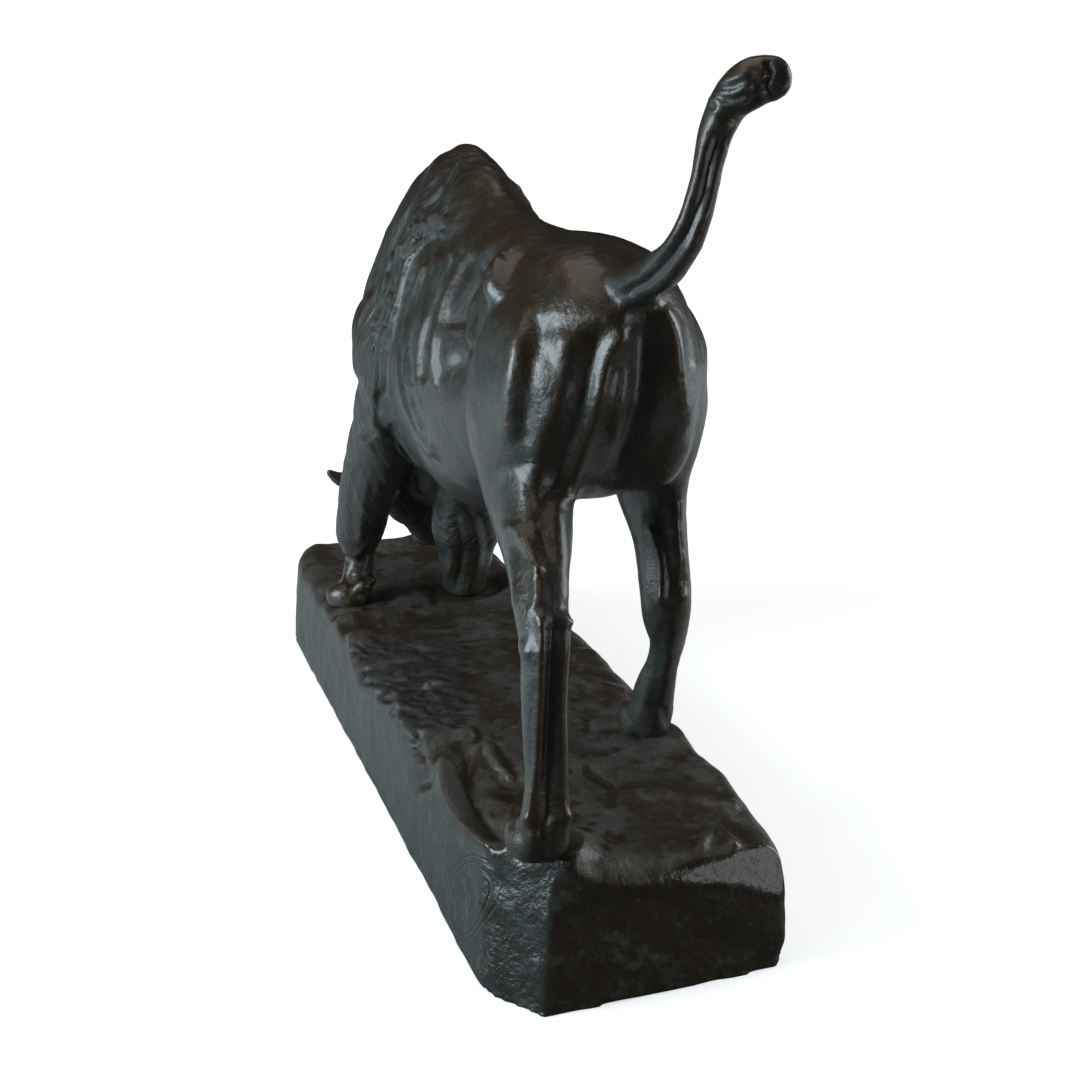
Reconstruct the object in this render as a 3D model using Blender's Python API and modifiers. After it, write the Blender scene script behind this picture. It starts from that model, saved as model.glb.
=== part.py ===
"""Bronze bison bull on a rocky plinth, head lowered and tail raised.

Metres, +Z up. The origin is the centre of the plinth's underside, +X runs along the plinth
towards the animal's head and +Y is the animal's left side.

The figure is modelled as a sculptor builds one up: a torso of cross sections, limbs as oval
tubes along curved paths, and muscles as flattened lumps, joined by a voxel remesh, eased where
they meet, carved with strokes, and thinned to flat facets.
"""
import math

import bmesh
import bpy
import numpy as np
from mathutils import Vector

# Driving dimensions, in metres
BISON_HEIGHT = 0.225
PLINTH_HEIGHT = 0.050
REAR_MARGIN = 0.008
FRONT_MARGIN = 0.097
LEFT_MARGIN = 0.007
RIGHT_MARGIN = 0.010
WALL_LEAN = 0.003
REAR_LEAN = 0.007
EDGE_ROUND = 0.012
EDGE_DROP = 0.75
WALL_LEVELS = (0.0, 0.35, 0.7)
SIDE_WAIST = 0.0008
REAR_CORNER = 0.030
REAR_CHAMFER = 0.45
RIGHT_CHAMFER = 0.20
CHAMFER_BEND = 1.4
FRONT_CORNER = 0.050
FRONT_CHAMFER = 0.44
FIT_GAP = 0.0003
STEEP = 0.75

# Fineness of the meshes
VOXEL = 0.0017
EASE_STEPS = 12
RUMP_STEPS = 16
BISON_FACES = 7300
PLINTH_ROWS = 56
PLINTH_COLUMNS = 16
END_SPACING = 0.08

# The figure's pose and carving are shares of its own height, in parts of this many
HEIGHT_PARTS = 225.0
PART = BISON_HEIGHT / HEIGHT_PARTS

# Torso sections: x, middle y, top z, bottom z, half width, height of the widest place as a
# share, squareness above it, squareness below it
TORSO = (
    (-171, -7, 190, 150, 16, .50, 2.0, 2.0),
    (-158, -7, 199, 128, 28, .50, 2.2, 2.1),
    (-138, -6.5, 204, 113, 34, .52, 2.4, 2.1),
    (-112, -5, 204, 108, 33, .52, 2.8, 2.0),
    (-88, -5, 205, 101, 32, .48, 2.1, 1.9),
    (-64, -5, 206.5, 90, 36, .42, 1.7, 1.9),
    (-38, -6, 210, 79, 40, .42, 1.5, 1.9),
    (-10, -7.5, 217, 72, 40.5, .42, 1.45, 1.9),
    (20, -9.5, 222, 68, 38.5, .42, 1.45, 1.9),
    (48, -10, 222, 66, 37, .44, 1.55, 1.9),
    (78, -9, 209, 66, 34, .46, 1.7, 1.9),
    (104, -8, 185, 66, 31, .46, 1.9, 1.9),
    (124, -8, 155, 64, 28, .46, 2.0, 2.0),
)

# Limbs: rows of x, y, z, sideways radius, fore-and-aft radius
NECK_AND_HEAD = (
    (95, -8, 146, 30, 33),
    (118, -9, 112, 29, 32),
    (136, -10, 84, 25, 28),
    (148, -12, 63, 21, 23),
    (155, -14, 46, 17.5, 18),
    (160, -17, 31, 13.5, 14.5),
    (162, -19.5, 18, 11.5, 12),
    (161, -20.5, 9.5, 9, 9.5),
)
THROAT_MANE = (
    (98, -2, 92, 24, 26),
    (118, -3, 66, 22, 22),
    (132, -8, 45, 19, 17),
    (144, -15, 25, 13, 12),
    (150, -21, 12, 8, 8),
)
LEFT_HIND = (
    (-137, 16, 167, 19, 30),
    (-128, 21, 143, 17, 32),
    (-133, 18.5, 121, 15.5, 28),
    (-157, 23.5, 106, 12, 19.5),
    (-177, 29, 95, 9.5, 13),
    (-187, 31.5, 83, 8.2, 11.5),
    (-190, 32.5, 72, 7.6, 9),
    (-192, 33, 50, 7.4, 7.2),
    (-194, 33, 32, 7.4, 7.2),
    (-195, 33.5, 21, 8.6, 8.8),
    (-193, 34, 12, 8.6, 9.2),
)
RIGHT_HIND = (
    (-130, -29, 167, 19, 31),
    (-121, -33.5, 148, 18, 32),
    (-116, -35.5, 116, 13, 26),
    (-124, -37, 92, 9.4, 16),
    (-130, -37, 74, 9.8, 12.5),
    (-128, -38.5, 61, 9.4, 11),
    (-122, -42, 49, 7.4, 8.4),
    (-117, -42.5, 38, 6.4, 7.2),
    (-111, -42.4, 26, 7.8, 8),
    (-107, -42.5, 15, 9.2, 9),
    (-104, -43, 8, 9.2, 9.4),
)
LEFT_FORE = (
    (72, 8, 146, 18, 28),
    (84, 14, 98, 16, 21),
    (96, 22, 66, 13, 17),
    (106, 26.5, 40, 10.5, 12.5),
    (108, 28, 27, 10, 11),
    (107, 28.5, 17, 7.6, 8.2),
    (106, 30, 8, 7.8, 8.2),
    (103, 32, 2, 8.5, 9),
)
RIGHT_FORE = (
    (68, -24, 146, 18, 26),
    (76, -25, 100, 18, 21),
    (84, -25, 68, 16, 17),
    (91, -24, 40, 15.5, 14),
    (94, -24, 22, 15, 12.5),
    (96, -24, 10, 13, 12),
    (97, -24, 2, 11, 11.5),
)
TAIL = (
    (-148, -6, 186, 9, 9),
    (-166, -7, 194, 8.2, 8.2),
    (-183, -8, 201, 7.0, 7.0),
    (-196, -9, 208, 6.0, 6.0),
    (-203, -11, 218, 5.4, 5.4),
    (-205, -13.5, 230, 5.0, 5.0),
    (-205, -15.5, 241, 5.2, 5.2),
    (-206, -17.5, 249, 5.6, 5.8),
    (-208, -20.5, 256, 6.8, 6.6),
    (-212, -24.5, 260, 8.0, 7.4),
    (-215, -28.5, 261.5, 7.2, 6.8),
)
HORN = (
    (148, 8, 47, 6.5, 6.5),
    (149, 19, 44.5, 5.4, 5.4),
    (150, 28, 46, 4.0, 4.0),
    (150, 34, 50.5, 1.8, 1.8),
)
EAR = (
    (146, 5, 46, 3.5, 3.0),
    (143, 13, 41, 3.2, 2.4),
    (141, 18, 37, 1.6, 1.4),
)
BEARD = (
    (153, -18, 22, 8, 9),
    (150, -19, 13, 6, 6.5),
)
HEAD_MIDDLE = -12
HIP_MIDDLE = -5

# Hooves: middle x, middle y, ground height, heading in degrees from +X towards +Y
HOOVES = {
    "left hind": (-190, 35, 7, 4),
    "right hind": (-99, -43, 2, -6),
    "left fore": (101, 36, -5, 55),
    "right fore": (101, -24, -5, -6),
}
HOOF_LENGTH = 20.0
HOOF_WIDTH = 21.0
HOOF_RISE = 12.0
TOE_SIZES = np.array((0.52, 0.29, 0.62))
TOE_ASIDE = 0.23
TOE_LIFT = 0.38
DEW_CLAW = (4.2, 3.0, 3.2)
CLAW_BACK = 0.46
CLAW_LIFT = 0.95
SOLE_REACH = 2.2
PAD_REACH = 2.7
PAD_FADE = 2

# Where the easing is held back: below this height, behind this x, and beyond these on the head
HOOVES_BELOW = HOOF_RISE + 2
TAIL_BEHIND = TAIL[2][0]
HORNS_BEYOND = HORN[0][1] - HEAD_MIDDLE - 0.5 * HORN[0][3]
HEAD_BEYOND = HORN[0][0] - HORN[0][3]
HORNS_UNDER = 60
HOOF_EASE = 0.25
TAIL_EASE = 0.4
HORN_EASE = 0.2
RUMP_BEHIND = 90
RUMP_OVER = 100
RUMP_FADE = 20

# Muscles and bones: middle, half sizes along, across and through, heading of the long axis
LUMPS = (
    ((68, 17, 126), (34, 17, 26), (0.35, 0, 1)),
    ((68, -32, 126), (34, 17, 26), (0.35, 0, 1)),
    ((-149, 12, 150), (33, 13, 18), (-0.15, 0, 1)),
    ((-149, -25, 150), (33, 13, 18), (-0.15, 0, 1)),
    ((100, -12, 64), (20, 17, 19), (0, 0, 1)),
    ((149, -10, 80), (22, 24, 18), (0, 0, 1)),
    ((160, -4, 38), (6, 4.5, 5), (0, 0, 1)),
    ((160, -26, 38), (6, 4.5, 5), (0, 0, 1)),
    ((166, -20, 15), (8.5, 10, 7), (0, 0, 1)),
    ((-84, -9, 104), (13, 8, 7), (1, 0, 0.2)),
)

# Crest of the pelvis, from the point of the hip in to the spine
HIP_CREST = (
    (-119, 25.5, 187, 6, 6.5),
    (-114, 22.5, 192.5, 5.5, 7),
    (-105, 11, 197, 4.5, 7.5),
    (-98, -5, 198.5, 4, 7),
)

# Edge of the wool over the shoulder: heights, and the x of the edge at each
SEAM_HEIGHTS = (60, 98, 112, 130, 145, 158, 170, 177, 184, 190, 193, 198, 215, 230)
SEAM_PLACES = (74, 60, 52, 38, 30, 27, 29, 26, 20, 8, -9, -20, -22, -20)
SEAM_WIDTH = 7.0
CREST_SEAM = 30.0
CREST_SEAM_FROM = 184
CREST_SEAM_FADE = 14
WOOL_RISE = 2.2
LOCK_LENGTH = 30.0
LOCK_WIDTH = 13.0
LOCK_RISE = 1.5
LOCK_DRIFT = 5
LOCK_LEAN = 0.35
LOCK_SPREAD = 0.5
TIP_LEAN = 0.3
TIP_DRIFT = 4
TIP_SHARE = 0.35
CREST_WIDTH = 20.0
CREST_FROM = 150
CREST_FADE = 30
CREST_CALM = 0.8
WOOL_FROM = 18
WOOL_FADE = 12
FACE_FROM = 150
FACE_FADE = 8
FACE_BELOW = 48
FACE_TOP_FADE = 10

# Strokes on both flanks: rise (hollows are below nought), width, path
FLANK_STROKES = (
    (1.7, 3.2, ((-44, 28, 188), (-46, 28, 172), (-52, 28, 156), (-58, 28, 142))),
    (1.7, 3.2, ((-29, 28, 186), (-31, 28, 166), (-35, 28, 150), (-42, 28, 134))),
    (1.7, 3.2, ((-13, 28, 184), (-12, 28, 166), (-15, 28, 150), (-25, 28, 134), (-36, 28, 121))),
    (1.9, 3.4, ((-2, 28, 178), (6, 28, 158), (3, 28, 144), (-9, 28, 130), (-26, 28, 117), (-42, 28, 111))),
    (-5.0, 9.5, ((-68, 28, 188), (-66, 28, 170), (-72, 28, 154))),
    (-1.4, 6.0, ((-86, 28, 176), (-92, 28, 150), (-96, 28, 126))),
    (-1.8, 5.0, ((52, 28, 96), (66, 28, 112), (84, 28, 118))),
    (2.6, 5.0, ((62, 28, 101), (66, 28, 92), (73, 28, 84))),
)

# Strokes seen from behind: rise, width, path
REAR_STROKES = (
    (-4.5, 6.0, ((-171, -8, 184), (-171, -8, 166), (-170, -6, 150), (-162, -6, 134), (-148, -8, 116))),
    (2.2, 4.5, ((-171, 1, 180), (-171, 5, 168), (-170, 8, 156), (-168, 11, 142), (-162, 14, 126))),
    (2.2, 4.5, ((-171, -17, 184), (-170, -21, 172), (-170, -24, 158), (-166, -25, 142))),
    (-3.0, 5.0, ((-168, 12, 178), (-169, 14, 162), (-167, 20, 144), (-161, 22, 126))),
    (-2.6, 5.0, ((-168, -28, 176), (-168, -30, 160), (-164, -33, 142))),
    (2.0, 4.5, ((-147, 23, 186), (-152, 28, 172), (-152, 32, 158), (-150, 33, 146))),
    (-2.0, 4.0, ((-158, 21, 182), (-160, 26, 168), (-160, 28, 154), (-156, 30, 140))),
    (-2.5, 4.0, ((-164, 4, 197), (-169, 2, 191))),
)

# Ground: middle x, middle y, half length, half width, heading in degrees, rise
MOUNDS = (
    (-178, 36, 52, 20, 0, 6.0),
    (-128, 24, 20, 10, 0, -8.0),
    (-40, 0, 60, 34, 15, 4.0),
    (-15, 40, 34, 10, 8, -5.0),
    (30, 38, 26, 10, -10, -4.5),
    (60, 4, 26, 40, 60, -2.5),
    (172, 0, 52, 60, 0, -8.0),
    (-185, -44, 42, 22, -10, -4.0),
    (-146, -54, 18, 9, -8, 3.0),
)

# Hewn facets of the plinth: its corner (rear or front, left or right, as -1 or 1), the height on
# that corner as a share of the plinth's, the way it faces, and how deep it cuts in there
FACETS = (
    ((-1, 1), 0.0, (-0.58, 0.80, 0.24), 0.0135),
    ((-1, 1), 1.0, (-0.72, 0.52, 0.46), 0.0105),
    ((-1, -1), 1.0, (-0.52, -0.30, 0.80), 0.0125),
    ((-1, -1), 0.0, (-0.55, -0.78, -0.30), 0.0105),
    ((1, 1), 1.0, (0.62, 0.55, 0.55), 0.0160),
    ((1, -1), 1.0, (0.50, -0.66, 0.55), 0.0150),
)


def clear_scene():
    for item in list(bpy.data.objects):
        bpy.data.objects.remove(item, do_unlink=True)


def make_collection(name):
    collection = bpy.data.collections.new(name)
    bpy.context.scene.collection.children.link(collection)
    return collection


def bronze(name, colour, roughness):
    material = bpy.data.materials.new(name)
    material.use_nodes = True
    shader = material.node_tree.nodes["Principled BSDF"]
    shader.inputs["Base Color"].default_value = (*colour, 1.0)
    shader.inputs["Roughness"].default_value = roughness
    shader.inputs["Metallic"].default_value = 1.0
    return material


def smooth_rows(rows, steps):
    """Catmull-Rom curve through the rows, all of their columns at once."""
    rows = np.asarray(rows, float)
    ends = np.vstack([2 * rows[0] - rows[1], rows, 2 * rows[-1] - rows[-2]])
    before, here, after, beyond = ends[:-3], ends[1:-2], ends[2:-1], ends[3:]
    share = np.linspace(0, 1, steps, endpoint=False)[:, None, None]
    curve = 0.5 * (
        2 * here
        + (after - before) * share
        + (2 * before - 5 * here + 4 * after - beyond) * share ** 2
        + (3 * here - before - 3 * after + beyond) * share ** 3
    )
    curve = curve.transpose(1, 0, 2).reshape(-1, rows.shape[1])
    return np.vstack([curve, rows[-1:]])


def skin(rings):
    """Closed mesh over an array of rings, indexed ring, corner and axis, with pole caps."""
    count, around = rings.shape[:2]
    points = np.vstack([rings.reshape(-1, 3), rings[0].mean(0), rings[-1].mean(0)])
    faces = []
    for ring in range(count - 1):
        for corner in range(around):
            side = (corner + 1) % around
            low = ring * around
            high = low + around
            faces.append((low + corner, low + side, high + side, high + corner))
    first, last = count * around, count * around + 1
    top = (count - 1) * around
    for corner in range(around):
        side = (corner + 1) % around
        faces.append((first, side, corner))
        faces.append((last, top + corner, top + side))
    return points, faces


def limb(rows, across=(0, 1, 0), steps=4, around=20):
    """Oval tube along a curved path, its ends rounded off like half an egg."""
    curve = smooth_rows(rows, steps)
    centre, radius = curve[:, :3], curve[:, 3:5]
    heading = np.gradient(centre, axis=0)
    heading /= np.linalg.norm(heading, axis=1)[:, None]
    lift = np.array((0.35, 0.7, 0.92, 1.0))
    reach = np.sqrt(1 - lift[:-1] ** 2)
    head = centre[0] - heading[0] * radius[0].min() * reach[:, None]
    tail = centre[-1] + heading[-1] * radius[-1].min() * reach[::-1, None]
    centre = np.vstack([head, centre, tail])
    heading = np.vstack([np.repeat(heading[:1], 3, 0), heading, np.repeat(heading[-1:], 3, 0)])
    radius = np.vstack([radius[0] * lift[:-1, None], radius, radius[-1] * lift[-2::-1, None]])
    side = np.asarray(across, float) - heading * (heading @ np.asarray(across, float))[:, None]
    side /= np.linalg.norm(side, axis=1)[:, None]
    fore = np.cross(heading, side)
    turn = np.linspace(0, 2 * np.pi, around, endpoint=False)
    rings = (
        centre[:, None]
        + side[:, None] * (radius[:, 0, None] * np.cos(turn))[..., None]
        + fore[:, None] * (radius[:, 1, None] * np.sin(turn))[..., None]
    )
    return skin(rings)


def torso(rows, steps=5, around=36):
    """Upright oval sections, each with its own squareness above and below its widest place."""
    x, middle, top, bottom, half, share, above, below = smooth_rows(rows, steps).T[:, :, None]
    turn = np.linspace(0, 2 * np.pi, around, endpoint=False)
    cosine, sine = np.cos(turn), np.sin(turn)
    widest = bottom + (top - bottom) * share
    square = np.where(sine > 0, above, below)
    reach = np.where(sine > 0, top - widest, widest - bottom)
    y = middle + half * np.sign(cosine) * np.abs(cosine) ** (2 / square)
    z = widest + reach * np.sign(sine) * np.abs(sine) ** (2 / square)
    return skin(np.stack([x + 0 * y, y, z], axis=2))


def lump(middle, sizes, heading, rings=12, around=18):
    """Egg shape, its long axis along the heading."""
    along = Vector(heading).normalized()
    side = Vector((0, 1, 0))
    side = (side - along * side.dot(along)).normalized()
    frame = np.array((along, side, along.cross(side)))
    rise = np.linspace(-0.5 * np.pi, 0.5 * np.pi, rings + 2)[1:-1, None]
    turn = np.linspace(0, 2 * np.pi, around, endpoint=False)
    local = np.stack([
        np.sin(rise) + 0 * turn,
        np.cos(rise) * np.cos(turn),
        np.cos(rise) * np.sin(turn),
    ], axis=2)
    return skin(np.asarray(middle, float) + (local * np.asarray(sizes, float)) @ frame)


def hoof(place):
    """Two toes side by side, and a dew claw over each heel."""
    x, y, ground, degrees = place
    heading = np.array((math.cos(math.radians(degrees)), math.sin(math.radians(degrees)), 0))
    side = np.array((-heading[1], heading[0], 0)) * HOOF_WIDTH
    up = np.array((0, 0, HOOF_RISE))
    middle = np.array((x, y, ground))
    shapes = []
    for hand in (-1, 1):
        toe = middle + side * hand * TOE_ASIDE + up * TOE_LIFT
        sizes = TOE_SIZES * (HOOF_LENGTH, HOOF_WIDTH, HOOF_RISE)
        shapes.append(lump(toe, sizes, heading))
        claw = middle + side * hand * TOE_ASIDE - heading * HOOF_LENGTH * CLAW_BACK + up * CLAW_LIFT
        shapes.append(lump(claw, DEW_CLAW, heading))
    return shapes


def mirrored(rows, middle):
    """The same rows on the other side of an upright plane along X."""
    return [(row[0], 2 * middle - row[1], *row[2:]) for row in rows]


def bison_shapes():
    shapes = [torso(TORSO)]
    for rows in (NECK_AND_HEAD, THROAT_MANE, BEARD, TAIL):
        shapes.append(limb(rows))
    for rows in (LEFT_HIND, RIGHT_HIND, LEFT_FORE, RIGHT_FORE):
        shapes.append(limb(rows))
    for rows in (HORN, EAR, mirrored(HORN, HEAD_MIDDLE), mirrored(EAR, HEAD_MIDDLE)):
        shapes.append(limb(rows, across=(1, 0, 0)))
    for rows in (HIP_CREST, mirrored(HIP_CREST, HIP_MIDDLE)):
        shapes.append(limb(rows, across=(1, 0, 0)))
    for place in HOOVES.values():
        shapes.extend(hoof(place))
    for middle, sizes, heading in LUMPS:
        shapes.append(lump(middle, sizes, heading))
    return shapes


def joined_mesh(name, shapes):
    """One mesh of all the shapes, in metres, still overlapping."""
    points, faces, start = [], [], 0
    for shape_points, shape_faces in shapes:
        points.append(shape_points)
        faces.extend(tuple(corner + start for corner in face) for face in shape_faces)
        start += len(shape_points)
    points = np.vstack(points) * PART + np.array((0, 0, PLINTH_HEIGHT))
    mesh = bpy.data.meshes.new(name)
    mesh.from_pydata(points.tolist(), [], faces)
    mesh.update()
    builder = bmesh.new()
    builder.from_mesh(mesh)
    bmesh.ops.recalc_face_normals(builder, faces=builder.faces)
    builder.to_mesh(mesh)
    builder.free()
    return mesh


def evaluated_mesh(item):
    depsgraph = bpy.context.evaluated_depsgraph_get()
    return bpy.data.meshes.new_from_object(item.evaluated_get(depsgraph))


def eased(points, edges, steps, weight):
    """Each point moves a weighted half way towards the mean of its neighbours, step by step."""
    first, second = edges[:, 0], edges[:, 1]
    count = len(points)
    share = np.bincount(first, minlength=count) + np.bincount(second, minlength=count)
    for _ in range(steps):
        mean = np.empty_like(points)
        for axis in range(3):
            column = points[:, axis]
            mean[:, axis] = np.bincount(first, column[second], count)
            mean[:, axis] += np.bincount(second, column[first], count)
        mean /= share[:, None]
        points = points + (mean - points) * (0.5 * weight)[:, None]
    return points


def on_horns(figure):
    """Which points lie on the horns, beyond the sides of the head."""
    aside = np.abs(figure[:, 1] - HEAD_MIDDLE)
    return (aside > HORNS_BEYOND) & (figure[:, 0] > HEAD_BEYOND) & (figure[:, 2] < HORNS_UNDER)


def rump_weight(figure):
    """More easing on the rump and the thighs, which are broad planes."""
    behind = rising(-figure[:, 0], RUMP_BEHIND, RUMP_FADE)
    return behind * rising(figure[:, 2], RUMP_OVER, RUMP_FADE) * (figure[:, 0] > TAIL_BEHIND)


def ease_weight(points):
    """Full easing on the body, little on the hooves, the horns and the thin end of the tail."""
    figure = (points - np.array((0, 0, PLINTH_HEIGHT))) / PART
    weight = np.ones(len(points))
    weight[figure[:, 2] < HOOVES_BELOW] = HOOF_EASE
    weight[figure[:, 0] < TAIL_BEHIND] = TAIL_EASE
    weight[on_horns(figure)] = HORN_EASE
    return weight


def nearness(points, path, view):
    """How far each point is from a path, seen along the view: the nearest of its straight runs."""
    path = smooth_rows(path, 5)
    view = np.asarray(view, float)
    flat_points = points - (points @ view)[:, None] * view
    flat_path = path - (path @ view)[:, None] * view
    nearest = np.full(len(points), np.inf)
    for start, end in zip(flat_path[:-1], flat_path[1:]):
        run = end - start
        share = np.clip((flat_points - start) @ run / max(run @ run, 1e-9), 0, 1)
        away = np.linalg.norm(flat_points - start - share[:, None] * run, axis=1)
        nearest = np.minimum(nearest, away)
    return nearest


def stroke_push(figure, normals, strokes, view):
    """Push of each stroke, a bell curve across its path, on the surface that faces the view."""
    facing = np.sqrt(np.clip(normals @ np.asarray(view, float), 0, 1))
    push = np.zeros(len(figure))
    for rise, width, path in strokes:
        push += rise * facing * np.exp(-(nearness(figure, path, view) / width) ** 2)
    return push


def rising(values, start, run):
    """Nought up to the start, then in a straight line to one over the run."""
    return np.clip((values - start) / run, 0, 1)


def wool_share(figure):
    """One on the woolly forequarters and nought on the smooth flanks, with a quick change."""
    edge = np.interp(figure[:, 2], SEAM_HEIGHTS, SEAM_PLACES)
    width = SEAM_WIDTH + CREST_SEAM * rising(figure[:, 2], CREST_SEAM_FROM, CREST_SEAM_FADE)
    share = rising(figure[:, 0], edge - 0.5 * width, width)
    return share * share * (3 - 2 * share)


def lock_wave(figure):
    """Rows of hanging locks: a wave across the hair, its crests bent and broken by others."""
    x, y, z = figure.T
    drift = LOCK_DRIFT * (np.sin(z / 17 + y / 23) + 0.6 * np.sin(z / 9 - x / 13))
    across = x + LOCK_LEAN * z + LOCK_SPREAD * np.abs(y) + drift
    crest = np.sin(2 * np.pi * across / LOCK_WIDTH)
    tip = np.sin(2 * np.pi * (z - TIP_LEAN * x + TIP_DRIFT * np.sin(x / 8)) / LOCK_LENGTH)
    calm = CREST_CALM * np.exp(-((y - HIP_MIDDLE) / CREST_WIDTH) ** 2)
    calm = 1 - calm * rising(z, CREST_FROM, CREST_FADE)
    return crest * (1 - TIP_SHARE + TIP_SHARE * tip) * calm


def carved(points, normals):
    """The points pushed along their normals by every stroke and by the wool."""
    figure = (points - np.array((0, 0, PLINTH_HEIGHT))) / PART
    left, rear = (0, 1, 0), (-1, 0, 0)
    right_strokes = [
        (rise, width, [(x, -y, z) for x, y, z in path])
        for rise, width, path in FLANK_STROKES
    ]
    push = stroke_push(figure, normals, FLANK_STROKES, left)
    push += stroke_push(figure, normals, right_strokes, (0, -1, 0))
    push += stroke_push(figure, normals, REAR_STROKES, rear)
    face = 1 - rising(figure[:, 2], FACE_BELOW, FACE_TOP_FADE)
    face *= rising(figure[:, 0], FACE_FROM, FACE_FADE)
    wool = wool_share(figure) * rising(figure[:, 2], WOOL_FROM, WOOL_FADE) * (1 - face)
    wool[on_horns(figure)] = 0
    push += wool * (WOOL_RISE + LOCK_RISE * lock_wave(figure))
    return points + normals * (push * PART)[:, None]


def mesh_points(mesh):
    points = np.empty(len(mesh.vertices) * 3, np.float32)
    mesh.vertices.foreach_get("co", points)
    return points.reshape(-1, 3).astype(float)


def mesh_normals(mesh):
    normals = np.empty(len(mesh.vertices) * 3, np.float32)
    mesh.vertices.foreach_get("normal", normals)
    return normals.reshape(-1, 3).astype(float)


def move_points(mesh, points):
    mesh.vertices.foreach_set("co", points.astype(np.float32).ravel())
    mesh.update()


def sole_cutter(name, place, collection):
    """Box whose top is the ground that one hoof stands on, with the fit gap."""
    x, y, level, degrees = place
    size = HOOF_LENGTH * PART * SOLE_REACH
    depth = HOOF_RISE * PART
    top = PLINTH_HEIGHT + level * PART + FIT_GAP
    bpy.ops.mesh.primitive_cube_add(size=1, location=(x * PART, y * PART, top - 0.5 * depth))
    cutter = bpy.context.object
    cutter.name = name
    cutter.scale = (size, size, depth)
    cutter.rotation_euler = (0, 0, math.radians(degrees))
    cutter.display_type = "WIRE"
    cutter.hide_render = True
    for owner in list(cutter.users_collection):
        owner.objects.unlink(cutter)
    collection.objects.link(cutter)
    return cutter


def make_bison(collection, soles):
    """The figure: shapes made one skin, eased, carved, thinned, and cut flat under each hoof."""
    rough = bpy.data.objects.new("bison shapes", joined_mesh("bison shapes", bison_shapes()))
    collection.objects.link(rough)
    remesh = rough.modifiers.new("One skin", "REMESH")
    remesh.mode = "VOXEL"
    remesh.voxel_size = VOXEL
    mesh = evaluated_mesh(rough)
    bpy.data.objects.remove(rough, do_unlink=True)
    mesh.name = "bison"
    points = mesh_points(mesh)
    edges = np.empty(len(mesh.edges) * 2, np.int32)
    mesh.edges.foreach_get("vertices", edges)
    points = eased(points, edges.reshape(-1, 2), EASE_STEPS, ease_weight(points))
    figure = (points - np.array((0, 0, PLINTH_HEIGHT))) / PART
    points = eased(points, edges.reshape(-1, 2), RUMP_STEPS, rump_weight(figure))
    move_points(mesh, points)
    move_points(mesh, carved(points, mesh_normals(mesh)))
    bison = bpy.data.objects.new("bison", mesh)
    collection.objects.link(bison)
    thin = bison.modifiers.new("Facets", "DECIMATE")
    thin.ratio = BISON_FACES / (2 * len(mesh.polygons))
    for cutter in soles:
        cut = bison.modifiers.new(cutter.name, "BOOLEAN")
        cut.operation = "DIFFERENCE"
        cut.solver = "EXACT"
        cut.object = cutter
    mesh.materials.clear()
    mesh.materials.append(bronze("bison bronze", (0.105, 0.088, 0.066), 0.32))
    return bison


def stance():
    """Rearmost, foremost, leftmost and rightmost reach of the hooves, in metres."""
    half = 0.5 * HOOF_LENGTH
    wide = 0.5 * HOOF_WIDTH
    rear = min(place[0] for place in HOOVES.values()) - half
    front = max(place[0] for place in HOOVES.values()) + half
    left = max(place[1] for place in HOOVES.values()) + wide
    right = min(place[1] for place in HOOVES.values()) - wide
    return rear * PART, front * PART, left * PART, right * PART


def plinth_outline(x):
    """Left and right edges of the plinth's foot at each x, its four corners rounded off."""
    rear, front, left, right = stance()
    rear, front = rear - REAR_MARGIN, front + FRONT_MARGIN
    left, right = left + LEFT_MARGIN, right - RIGHT_MARGIN
    from_rear = np.clip((x - rear) / REAR_CORNER, 0, 1)
    from_front = np.clip((front - x) / FRONT_CORNER, 0, 1)
    rear_trim = REAR_CORNER * (1 - from_rear) ** CHAMFER_BEND
    front_trim = FRONT_CORNER * (1 - np.sqrt(1 - (1 - from_front) ** 2))
    left_trim = REAR_CHAMFER * rear_trim + FRONT_CHAMFER * front_trim
    right_trim = RIGHT_CHAMFER * rear_trim + FRONT_CHAMFER * front_trim
    waist = SIDE_WAIST * np.sin(np.pi * np.clip((x - rear) / (front - rear), 0, 1)) ** 2
    return left - left_trim - waist, right + right_trim + waist


def ground(x, y):
    """Height of the rocky ground: broad mounds and hollows, flat under each hoof."""
    height = np.full(np.broadcast(x, y).shape, PLINTH_HEIGHT)
    for middle_x, middle_y, long, wide, degrees, rise in MOUNDS:
        turn = math.radians(degrees)
        across_x, across_y = x / PART - middle_x, y / PART - middle_y
        along = across_x * math.cos(turn) + across_y * math.sin(turn)
        aside = across_y * math.cos(turn) - across_x * math.sin(turn)
        height = height + rise * PART * np.exp(-((along / long) ** 2 + (aside / wide) ** 2))
    for middle_x, middle_y, level, _ in HOOVES.values():
        away = np.hypot(x / PART - middle_x, y / PART - middle_y) / HOOF_LENGTH
        pad = np.clip(PAD_REACH - PAD_FADE * away, 0, 1)
        pad = pad * pad * (3 - 2 * pad)
        height = height + (PLINTH_HEIGHT + level * PART - height) * pad
    return height


def hewn(points, corners):
    """Points beyond a facet go back onto it: level for a wall's facet, straight down for a top's."""
    for (end, side), share, facing, depth in FACETS:
        facing = np.asarray(facing, float)
        facing /= np.linalg.norm(facing)
        corner = np.array((corners[0][end > 0], corners[1][side > 0], share * PLINTH_HEIGHT))
        way = np.array((0, 0, 1.0)) if facing[2] > STEEP else facing * (1, 1, 0)
        beyond = np.maximum((points - corner) @ facing + depth, 0)
        points = points - beyond[..., None] * way / (way @ facing)
    return points


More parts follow.
